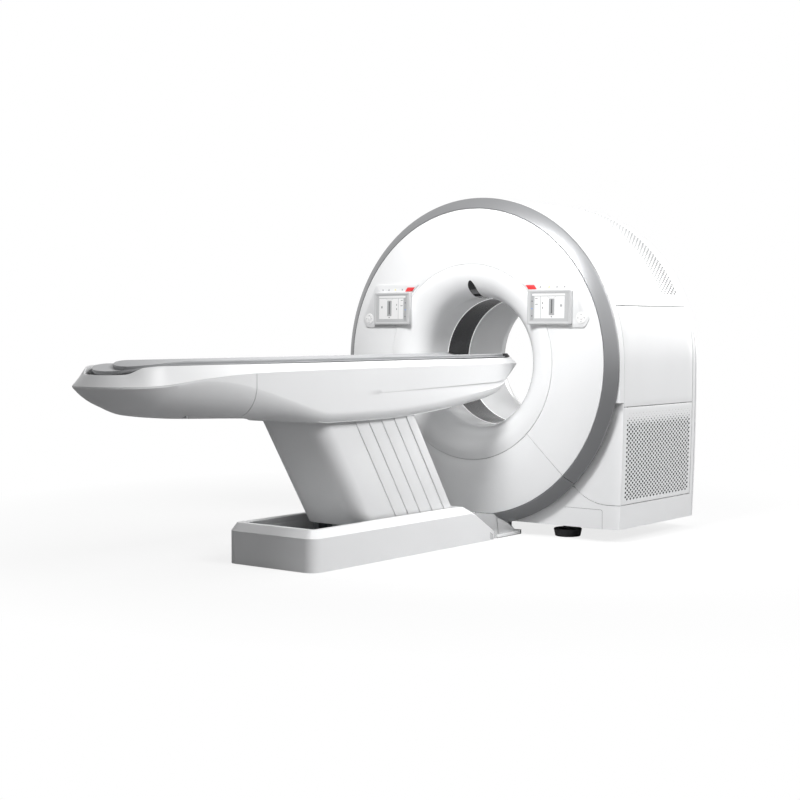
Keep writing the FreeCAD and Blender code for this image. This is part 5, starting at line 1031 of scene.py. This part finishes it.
def bridge():
    """The clear bridge cover: a bent line carried across, and a flat side under each of its ends."""
    half = BRIDGE_HALF
    line = [(y, h + FLOOR) for y, h in BRIDGE]
    below = (line[0][0], line[0][1] - 30)
    soft = rounded([below, *[(y, z, 9) for y, z in line[:-1]], line[-1]], 5)[1:]
    x = np.concatenate([[-half, -half + 0.8], np.linspace(-half + 3, half - 3, 9), [half - 0.8, half]])
    sink = roll(half - np.abs(x), 3.0)[:, None]
    skin = sheet(grid(x[:, None], soft[:, 0], soft[:, 1] - sink), (0, -150, FLOOR))
    low = [(61.0, -905.7), (-177.4, -905.7), (-177.4, -904.4), (-372, slope(-372.0) + 0.6)]
    flat, faces = plate(np.concatenate([soft - (0, 3.0), low]))
    side = outward((grid(half, flat[:, 0], flat[:, 1]), faces), (0, -150, -880))
    return join(skin, side, mirror(side))


def bar(start, end, size):
    """A square bar from point to point."""
    start, end = np.asarray(start, float), np.asarray(end, float)
    way = (end - start) / np.linalg.norm(end - start)
    side = np.cross(way, np.eye(3)[np.argmin(np.abs(way))])
    side /= np.linalg.norm(side)
    up = np.cross(side, way)
    corners = np.array([size / 2 * (a * side + b * up) for a, b in ((-1, -1), (1, -1), (1, 1), (-1, 1))])
    return solid([start + corners, end + corners])


def bridge_edges():
    """Dark edge strips of the bridge cover: along each side's bent line, down to the sill, across its
    bends, and round the sill's sides."""
    line = [(y, h + FLOOR - 1.2) for y, h in BRIDGE]
    bars = [bar((-260, *line[k]), (260, *line[k]), 2.4) for k in (2, 3, 5)]
    for x in (-261.2, 261.2):
        runs = [(a, b, 2.6) for a, b in zip(line, line[1:])]
        runs += [(line[2], (-158, -905), 2.6), ((-172, -923.6), (54, -923.6), 2.6),
                 ((-173, -924), (-173, -907), 3), ((52, -924), (52, -907), 7)]
        bars += [bar((x, *a), (x, *b), size) for a, b, size in runs]
    return join(*bars)


def vent_dots():
    """The small vents low on the base's right side: flat discs turned to face out."""
    dots = []
    for column, count in enumerate((6, 5, 5, 4)):
        for row in range(count):
            dot = disc(-252 + 7.0 * column, -917 + 6.4 * row, 2.0, -272.0, -275.2, 0.1, 8)
            dots.append(outward((dot[0][:, [1, 0, 2]] * (-1, 1, 1), dot[1]), (0, -220, -870)))
    return dots


def sill():
    """The bridge's sill: a low plate with a soft top edge."""
    loops = []
    for inset, up in ((0, 0.2), (0, 17.4), (0.5, 18.6), (1.6, 19.0)):
        half = BRIDGE_HALF - inset
        loops.append(level(rounded_box(-half, -177.5 + inset, half, 60.8 - inset, 2, 8, 4), up + FLOOR))
    return solid(loops)


class SCANNER_OT_base(bpy.types.Operator):
    """Build the table's base, its small vents, the bridge cover and the sill"""
    bl_idname = "scanner.base"
    bl_label = "Table Base"

    def execute(self, context):
        white, smoke = ("table_white", "table_cover"), ("bridge_smoke", "bridge_smoke")
        dress("table_base_shell", base_cover(), ["table_base_cover"], *white, wall=WALL, crease=20)
        dress("trough_ramp", ramp(), [], *white, bevel=0.6)
        # the vent discs stand for the holes; their near-black finish is painted shade of the holes' inside
        dots = vent_dots()
        dress("base_vent_shade_dots", join(*dots, *[mirror(d) for d in dots]), [], "table_white", "vent_painted_shade")
        dress("bridge_cover_shell", bridge(), ["bridge_cover"], *smoke, wall=4, crease=25)
        dress("bridge_edges", bridge_edges(), [], "bridge_smoke", "bridge_edge")
        dress("bridge_sill_strip", sill(), ["bridge_sill"], *white)
        return {"FINISHED"}


# ---------------------------------------------------------------- column

def leaning(line, low):
    """A closed (x, y) line at the level of the lower pivots carried up the lean of the links."""
    x, y = line.T
    return solid([grid(x, y - (z - PIVOT_LEVEL) / math.tan(LEAN), z) for z in (low, COLUMN_TOP)])


def end_cover(half, face, edge, size, wall=3.0):
    """One end of the column: a U in plan with two rounded corners, as its outer and inner line."""
    inset = wall if face < edge else -wall
    outer = rounded([(half, edge), (half, face, size), (-half, face, size), (-half, edge)], 12)
    deep, turn, back = half - wall, size - wall, face + inset
    inner = rounded([(-deep, edge), (-deep, back, turn), (deep, back, turn), (deep, edge)], 12)
    return np.concatenate([outer, inner])


class SCANNER_OT_column(bpy.types.Operator):
    """Build the column's two end covers and the slats between them"""
    bl_idname = "scanner.column"
    bl_label = "Lift Column"

    def execute(self, context):
        white = ("table_white", "table_cover")
        for name, body, plan in (("far", "second_link", (196, -1185, -900, 95)),
                                 ("near", "main_link", (217, -453, -539, 40))):
            dress(f"{name}_column_shell", leaning(end_cover(*plan), -765), [f"{name}_column_cover"], *white,
                  body=body, bevel=0.8, crease=25)
        for number in range(1, 5):
            far, out = -915 + 94 * (number - 1), 196.0 + 4 * number
            near = far + 109
            plates = []
            for side in (1, -1):
                x0, x1 = side * (out - 3), side * out
                plates.append(leaning(np.array([(x0, far), (x1, far), (x1, near), (x0, near)]), -820))
            dress(f"slat_{number}_plates", join(*plates), [f"slat_{number}"], *white,
                  body=f"slat_{number}", bevel=0.6)
        return {"FINISHED"}


# ---------------------------------------------------------------- hull

def fields(setback):
    """The hull's section sizes at setbacks: cubic curves through the stations, flat where neighbours turn.
    The foot end's half width is 251 sqrt(1 - t^4.4), its belly runs up to the knife edge at the nose, and
    its side melts into one round from the belly to the edge."""
    s = np.asarray(setback, float)
    table = STATIONS[::-1]
    at, values = table[:, 0], table[:, 1:]
    step = np.diff(at)
    rate = np.diff(values, axis=0) / step[:, None]
    product = rate[1:] * rate[:-1]
    inner = np.where(product > 0, 2 * product / (rate[1:] + rate[:-1] + 1e-12), 0)
    slopes = np.concatenate([rate[:1], inner, rate[-1:]])
    near = np.clip(s, at[0], at[-1])
    where = np.clip(np.searchsorted(at, near) - 1, 0, len(step) - 1)
    run = step[where][:, None]
    u = (near - at[where])[:, None] / run
    a, b = values[where], values[where + 1]
    m, n = slopes[where] * run, slopes[where + 1] * run
    out = a * (1 + 2 * u) * (1 - u) ** 2 + m * u * (1 - u) ** 2
    out = out + b * u * u * (3 - 2 * u) + n * u * u * (u - 1)
    half, edge, belly, flat, bilge, rim, rim_half = [out[:, k:k + 1] for k in range(7)]
    reach = np.clip((s - ROUND_START) / (NOSE - ROUND_START), 0, 1)[:, None]
    half = np.where(reach > 0, 251 * np.sqrt(np.clip(1 - reach ** 4.4, 0, 1)), half)
    last = np.clip((NOSE - s) / (NOSE - at[-1]), 0, 1)[:, None]
    belly = edge - KNIFE_GAP - 8 + (belly - edge + KNIFE_GAP + 8) * last ** 0.85
    soft = np.clip((s - SOFT_START) / 750, 0, 1)[:, None]
    soft = soft * soft * (3 - 2 * soft)
    flat = flat * (1 - soft) + 0.12 * half * soft
    return half, edge, belly, flat, bilge + (edge - KNIFE_GAP - 6 - belly - bilge) * soft, rim, rim_half


def lower_section(s):
    """Right half of the hull's lower section from its keel to the knife edge: flat belly, an arc up to the
    side, then the side with a crease that deepens towards the gantry."""
    half, edge, belly, flat, bilge, _, _ = fields(s)
    s = s[:, None]
    wide = half - flat
    radius = (wide ** 2 + bilge ** 2) / (2 * bilge)
    keel = flat * np.linspace(0, 1, 5)[:-1]
    turn = 2 * np.arctan2(bilge, wide) * np.linspace(0, 1, 15)
    arc_x, arc_z = flat + radius * np.sin(turn), belly + radius * (1 - np.cos(turn))
    start, knife = belly + bilge, edge - KNIFE_GAP
    crease = np.maximum(np.minimum(-96 - 0.025 * s, edge - 20), start + 0.2 * (knife - start))
    below = start + (crease - start) * np.linspace(0, 1, 9)[1:-1]
    above = crease + (knife - crease) * np.linspace(0, 1, 7)
    fade = np.clip((CREASE_RUN[0] - s) / (CREASE_RUN[0] - CREASE_RUN[1]), 0, 1) ** 1.3
    deep = bpy.context.scene.scanner_sizes.crease_depth / MM * fade
    lip = deep * np.exp(-(crease - below) / 26)
    x = np.concatenate([keel, np.minimum(arc_x, half), half - lip, half - deep, half + 0 * above], 1)
    z = np.concatenate([belly + 0 * keel, arc_z, below, crease - 0.8, above], 1)
    return grid(x, -s, z)


def hull_parts():
    """The hull's main shell, open where the column comes up, and its foot-end cover."""
    runs = ((HEAD, 520, 40), (520, 1562, 50), (1562, 1988.5, 24))
    points = lower_section(np.unique(np.concatenate([np.linspace(*run) for run in runs])))
    quads = lattice(*points.shape[:2])
    x, y, z = points.reshape(-1, 3)[quads].mean(1).T
    well = (x < WELL[0]) & (y > WELL[1]) & (y < WELL[2]) & (z < -180)
    main = outward((points.reshape(-1, 3), [quads[~well]]), (0, -1000, -60))
    start, last = 1991.5, STATIONS[0, 0]
    nose = last + (NOSE - last) * np.sin(quarter(20))[1:]
    foot = lower_section(np.concatenate([np.linspace(start, last, 44), nose]))
    right = lower_section(np.array([HEAD]))[0][1:, [0, 2]]
    top = [(211, right[-1, 1]), (211, -22.5), (-211, -22.5), (-211, right[-1, 1])]
    flat, faces = plate(np.concatenate([right, top, right[::-1] * (-1, 1)]))
    wall = outward((upright(flat, -HEAD), faces), (0, 0, -50))
    return join(pair(main), wall), pair(sheet(foot, (0, -(start + NOSE) / 2, -90)))


def well_lip():
    """The lip round the hull's opening for the column: a band that follows the hull and stands 4 mm below
    it."""
    half, far, near = WELL
    outer, inner = long_plan(half + 4, far - 4, near + 4, 19), long_plan(half, far, near, 15)
    side, _, belly, flat, bilge = [f[:, 0] for f in fields(-outer[:, 1])[:5]]
    radius = ((side - flat) ** 2 + bilge ** 2) / (2 * bilge)
    skin = belly + radius - np.sqrt(radius ** 2 - np.clip(np.abs(outer[:, 0]) - flat, 0, None) ** 2)
    corners = [level(line, skin + up) for line, up in ((outer, 3), (outer, -4), (inner, -4), (inner, 3))]
    return solid(np.stack(corners, 1), True)


def top_cover():
    """The hull's top: from the knife edge up a slanted face to a soft rim, over a land and down into the
    channel, whose foot end is a half circle with a deeper floor for the fingers."""
    straight = np.concatenate([np.linspace(HEAD, 2400, 70), np.linspace(2412, CHANNEL_ROUND, 8)])
    turn = quarter(48)[1:]
    s_in = np.concatenate([straight, CHANNEL_ROUND + CHANNEL * np.sin(turn)])
    x_in = np.concatenate([np.full(len(straight), CHANNEL), CHANNEL * np.cos(turn)])
    s_out = np.concatenate([straight, CHANNEL_ROUND + (NOSE - CHANNEL_ROUND) * np.sin(turn)])
    land = np.concatenate([0 * straight, 10 * np.sin(turn)])
    half, edge = [f[:, 0] for f in fields(s_out)[:2]]
    s_rim = s_in + land
    rim, rim_half = [f[:, 0] for f in fields(s_rim)[5:]]
    rim_half = np.where(land > 0, x_in + 4 * np.sqrt(np.clip(x_in / CHANNEL, 0, 1)), rim_half)
    half[-1] = x_in[-1] = rim_half[-1] = 0
    floor = -21.7 - 30.3 * np.clip((s_in - 2424) / 16, 0, 1)
    size = np.minimum(3.0, (rim_half - x_in) / 2.2)
    shelf = np.minimum(x_in / 12, 1)
    rows = [(half + (rim_half - half) * share, s_out + (s_rim - s_out) * share, edge + (rim - edge) * share)
            for share in np.linspace(0, 0.97, 7)]
    rows += [(rim_half - size * 0.3, s_rim, rim - size * 0.12), (rim_half - size, s_rim, rim)]
    rows += [(rim_half - size + (x_in + size - rim_half + size) * share, s_rim + (s_in - s_rim) * share, rim)
             for share in (0.35, 0.7)]
    rows += [(x_in + size, s_in, rim), (x_in + size * 0.3, s_in, rim - size * 0.3), (x_in, s_in, rim - size),
             (x_in, s_in, (rim - size + floor + 6) / 2), (x_in, s_in, floor + 6),
             (x_in - 2 * shelf, s_in, floor + 1.8)]
    rows += [((x_in - 6 * shelf) * share, s_in, floor) for share in (1, 0.66, 0.33, 0.0)]
    points = np.stack([grid(x, -s, z) for x, s, z in rows], 1)
    faces = lattice(*points.shape[:2])
    normal = np.cross(points[5, 1] - points[5, 0], points[6, 0] - points[5, 0])
    return pair((points.reshape(-1, 3), [faces[:, ::-1] if normal[0] < 0 else faces]))


class SCANNER_OT_hull(bpy.types.Operator):
    """Build the table's hull, its foot-end cover and its top cover"""
    bl_idname = "scanner.hull"
    bl_label = "Table Hull"

    def execute(self, context):
        main, foot = hull_parts()
        for name, part, nodes, wall, crease in (
            ("hull_shell_skin", main, ["hull_shell"], 4, 28), ("well_lip_band", well_lip(), [], 0, 30),
            ("foot_end_skin", foot, ["foot_end_cover"], 4, 28),
            ("top_cover_skin", top_cover(), ["top_cover"], 2.5, 28),
        ):
            dress(name, part, nodes, "table_white", "table_cover", body="table_top", wall=wall, crease=crease)
        return {"FINISHED"}


# ---------------------------------------------------------------- cradle

# the board's half width, how far its middle sinks, the ends of both boards at the gantry, and the pad's
# half width and thickness
BOARD_HALF, SAG, BOARD_HEAD, PAD_HALF, PAD_THICK = 205.0, 26.0, 15.3, 190.0, 17.3


def round_through(x, low, sag):
    """Height of a round that is lowest in the middle and the sag higher at the board's edges."""
    radius = (BOARD_HALF ** 2 + sag ** 2) / (2 * sag)
    return low + radius - np.sqrt(radius ** 2 - x * x)


def dip(x):
    """Height of the cradle's dished face."""
    return round_through(x, 8, SAG)


def belly_line(x):
    """Height of the cradle's underside."""
    return round_through(x, -7, SAG + 10)


def board(half, foot, under, over, edge):
    """A dished board in rows along the table: its half width follows a half circle at the foot end, and
    its section runs over the top and back below with rounded edges."""
    middle = foot - half
    turn = np.radians(np.linspace(89.0, 0, 40))
    s = np.concatenate([middle + half * np.sin(turn), np.linspace(middle, BOARD_HEAD, 60)[1:]])[:, None]
    wide = np.sqrt(np.clip(half ** 2 - np.clip(s - middle, 0, None) ** 2, 4, None))
    top_x = (wide - edge) * np.linspace(-1, 1, 33)
    low_x = top_x[:, ::-1]
    right = wide - 0.15 * edge
    high, low = over(right), under(right)
    rise = np.concatenate([high * 0.7 + low * 0.3, high * 0.3 + low * 0.7], 1)
    x = np.concatenate([top_x, right, right, low_x, -right, -right], 1)
    z = np.concatenate([over(top_x), rise, under(low_x), rise[:, ::-1]], 1)
    return solid(grid(x, -s, z))


def tip():
    """The dark cap over the boards' ends at the gantry."""
    u, shoulder_x, middle = np.linspace(-1, 1, 33), 198, 14.0
    x = np.concatenate([PAD_HALF * u, [shoulder_x, BOARD_HALF], BOARD_HALF * u[::-1],
                        [-BOARD_HALF, -shoulder_x]])
    shoulder = [dip(shoulder_x) + 8, 33.6]
    z = np.concatenate([dip(PAD_HALF * u) + PAD_THICK, shoulder, belly_line(BOARD_HALF * u[::-1]),
                        shoulder[::-1]])
    return solid([grid(x * squeeze, y, middle + (z - middle) * squeeze)
                  for y, squeeze in ((-15, 1.0), (24, 1.0), (28, 0.992), (30, 0.975))])


class SCANNER_OT_cradle(bpy.types.Operator):
    """Build the sliding cradle: its board, its top and the dark tip at the head end"""
    bl_idname = "scanner.cradle"
    bl_label = "Cradle"

    def execute(self, context):
        lower = board(BOARD_HALF, 2630, belly_line, dip, 1.5)
        upper = board(PAD_HALF, 2520, lambda x: dip(x) + 0.3, lambda x: dip(x) + PAD_THICK, 4)
        for name, part, node, slot in (
            ("cradle_board_shell", lower, "cradle_board", "cradle_light"),
            ("cradle_top_pad", upper, "cradle_top", "cradle_pale"),
            ("cradle_tip_cap", tip(), "cradle_tip", "tip_black"),
        ):
            dress(name, part, [node], slot, node, body="cradle", crease=32)
        return {"FINISHED"}


# ---------------------------------------------------------------- frame finishes and stage

class SCANNER_OT_frame(bpy.types.Operator):
    """Give the frame, rotor, drive and lift parts inside their finishes"""
    bl_idname = "scanner.frame"
    bl_label = "Inner Parts"

    def execute(self, context):
        for look, nodes in KEPT_FINISHES.items():
            for node in nodes:
                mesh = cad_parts[node].data
                mesh.materials.clear()
                mesh.materials.append(FINISHES[look])
        return {"FINISHED"}


def floor_finish():
    """A pale floor: the camera sees white with a fifth of the floor's own light, so that the shadow stays
    near the object and fades out to plain white; other rays see a duller floor."""
    material = bpy.data.materials.new("pale_floor")
    material.use_nodes = True
    tree = material.node_tree
    shader = adjust(tree.nodes["Principled BSDF"], Roughness=0.9)
    where, noise, tones = add(tree, "TexCoord"), add(tree, "TexNoise", Scale=2), add(tree, "ValToRGB")
    dark, light = tones.color_ramp.elements
    dark.color, light.color = (0.29, 0.29, 0.295, 1), (0.31, 0.31, 0.315, 1)
    pale = add(tree, "BsdfDiffuse", Color=(0.95, 0.95, 0.95, 1))
    white = add(tree, "Emission", Color=(1, 1, 1, 1))
    path, far, both = add(tree, "LightPath"), add(tree, "VectorMath"), add(tree, "Math")
    far.operation, both.operation = "LENGTH", "MAXIMUM"
    fade = add(tree, "MapRange", From_Min=1.8, From_Max=3.6, To_Min=0.8, To_Max=1.0)
    seen, mix = add(tree, "MixShader"), add(tree, "MixShader")
    wire(tree, (where, "Object", noise, "Vector"), (noise, "Fac", tones, "Fac"),
         (tones, "Color", shader, "Base Color"), (where, "Object", far, 0), (far, "Value", fade, "Value"),
         (fade, "Result", seen, "Fac"), (pale, 0, seen, 1), (white, 0, seen, 2),
         (path, "Is Camera Ray", both, 0), (path, "Is Transmission Ray", both, 1), (both, 0, mix, "Fac"),
         (shader, 0, mix, 1), (seen, 0, mix, 2), (mix, 0, tree.nodes["Material Output"], "Surface"))
    return material


def surroundings():
    """The world: white to the camera, to reflections and through the clear cover, and dim as a lamp."""
    world = bpy.data.worlds.new("studio")
    world.use_nodes = True
    tree = world.node_tree
    soft = adjust(tree.nodes["Background"], Color=(1, 1, 1, 1), Strength=0.22)
    white = add(tree, "Background", Color=(1, 1, 1, 1))
    path, mix = add(tree, "LightPath"), add(tree, "MixShader")
    most, third = add(tree, "Math"), add(tree, "Math")
    most.operation = third.operation = "MAXIMUM"
    wire(tree, (path, "Is Camera Ray", most, 0), (path, "Is Glossy Ray", most, 1), (most, 0, third, 0),
         (path, "Is Transmission Ray", third, 1), (third, 0, mix, "Fac"), (soft, 0, mix, 1),
         (white, 0, mix, 2), (mix, 0, tree.nodes["World Output"], "Surface"))
    return world


def stand(name, data):
    """A new object in the scene."""
    obj = bpy.data.objects.new(name, data)
    bpy.context.scene.collection.objects.link(obj)
    return obj


def lamp(name, at, towards, size, power, spread=180):
    """An area lamp at a point, turned to face another."""
    data = bpy.data.lights.new(name, "AREA")
    data.shape = "RECTANGLE"
    data.size, data.size_y = size
    data.energy, data.spread = power, math.radians(spread)
    obj = stand(name, data)
    obj.location = at
    obj.rotation_euler = (Vector(towards) - Vector(at)).to_track_quat("-Z", "Y").to_euler()


def camera(at, yaw, pitch, lens):
    """A camera at a point, turned from +Y to the left by the yaw and down by the pitch."""
    data = bpy.data.cameras.new("camera")
    data.lens, data.sensor_width, data.sensor_fit, data.clip_end = lens, 36.0, "HORIZONTAL", 200
    yaw, pitch = math.radians(yaw), math.radians(pitch)
    flat = Vector((-math.sin(yaw), math.cos(yaw), 0)) * math.cos(pitch)
    ahead = flat + Vector((0, 0, -math.sin(pitch)))
    side = Vector((math.cos(yaw), math.sin(yaw), 0))
    turn = Matrix((side, side.cross(ahead), -ahead)).transposed().to_4x4()
    obj = stand("camera", data)
    obj.matrix_world = Matrix.Translation(at) @ turn
    return obj


class SCANNER_OT_stage(bpy.types.Operator):
    """Set up the floor, the white surroundings, the studio lamps and the camera"""
    bl_idname = "scanner.stage"
    bl_label = "Stage"

    def execute(self, context):
        scene = context.scene
        scene.view_settings.view_transform = "Standard"
        mesh = bpy.data.meshes.new("floor")
        corners = [(30.0 * a, 30.0 * b, -0.001) for a, b in ((-1, -1), (1, -1), (1, 1), (-1, 1))]
        mesh.from_pydata(corners, [], [(0, 1, 2, 3)])
        mesh.materials.append(floor_finish())
        floor = stand("floor", mesh)
        scene.world = surroundings()
        lamp("key", (8.4, -1.0, 7.2), (0, -0.9, 0.8), (4.5, 4.5), 720)
        lamp("front", (0.6, -2.8, 3.3), (0, -0.45, 1.0), (1.2, 0.8), 31, 90)
        lamp("rear", (1.2, 6.0, 2.4), (0, 0.2, 0.9), (2.5, 2.5), 200)
        scene.camera = camera((4.78497, -7.20791, 1.11312), 38.042, 2.740, 68.526)
        return {"FINISHED"}


class SCANNER_PT_build(bpy.types.Panel):
    """Lists the steps that build the scanner"""
    bl_label = "CT Scanner"
    bl_idname = "SCANNER_PT_build"
    bl_space_type = "VIEW_3D"
    bl_region_type = "UI"
    bl_category = "CT Scanner"

    def draw(self, context):
        for step in STEPS:
            self.layout.operator(step.bl_idname)
        for group in (context.scene.scanner_sizes, context.scene.scanner_finishes):
            for name in group.__annotations__:
                self.layout.prop(group, name)


STEPS = (
    SCANNER_OT_stage, SCANNER_OT_frame, SCANNER_OT_covers, SCANNER_OT_front, SCANNER_OT_pads, SCANNER_OT_feet,
    SCANNER_OT_base, SCANNER_OT_column, SCANNER_OT_hull, SCANNER_OT_cradle,
)
CLASSES = (ScannerFinishes, ScannerSizes, *STEPS, SCANNER_PT_build)


def register():
    for item in CLASSES:
        bpy.utils.register_class(item)
    bpy.types.Scene.scanner_sizes = PointerProperty(type=ScannerSizes)
    bpy.types.Scene.scanner_finishes = PointerProperty(type=ScannerFinishes)


def unregister():
    del bpy.types.Scene.scanner_finishes
    del bpy.types.Scene.scanner_sizes
    for item in reversed(CLASSES):
        bpy.utils.unregister_class(item)


def main():
    register()
    all_finishes()
    for step in STEPS:
        group, name = step.bl_idname.split(".")
        getattr(getattr(bpy.ops, group), name)()
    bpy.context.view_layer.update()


if __name__ == "__main__":
    main()
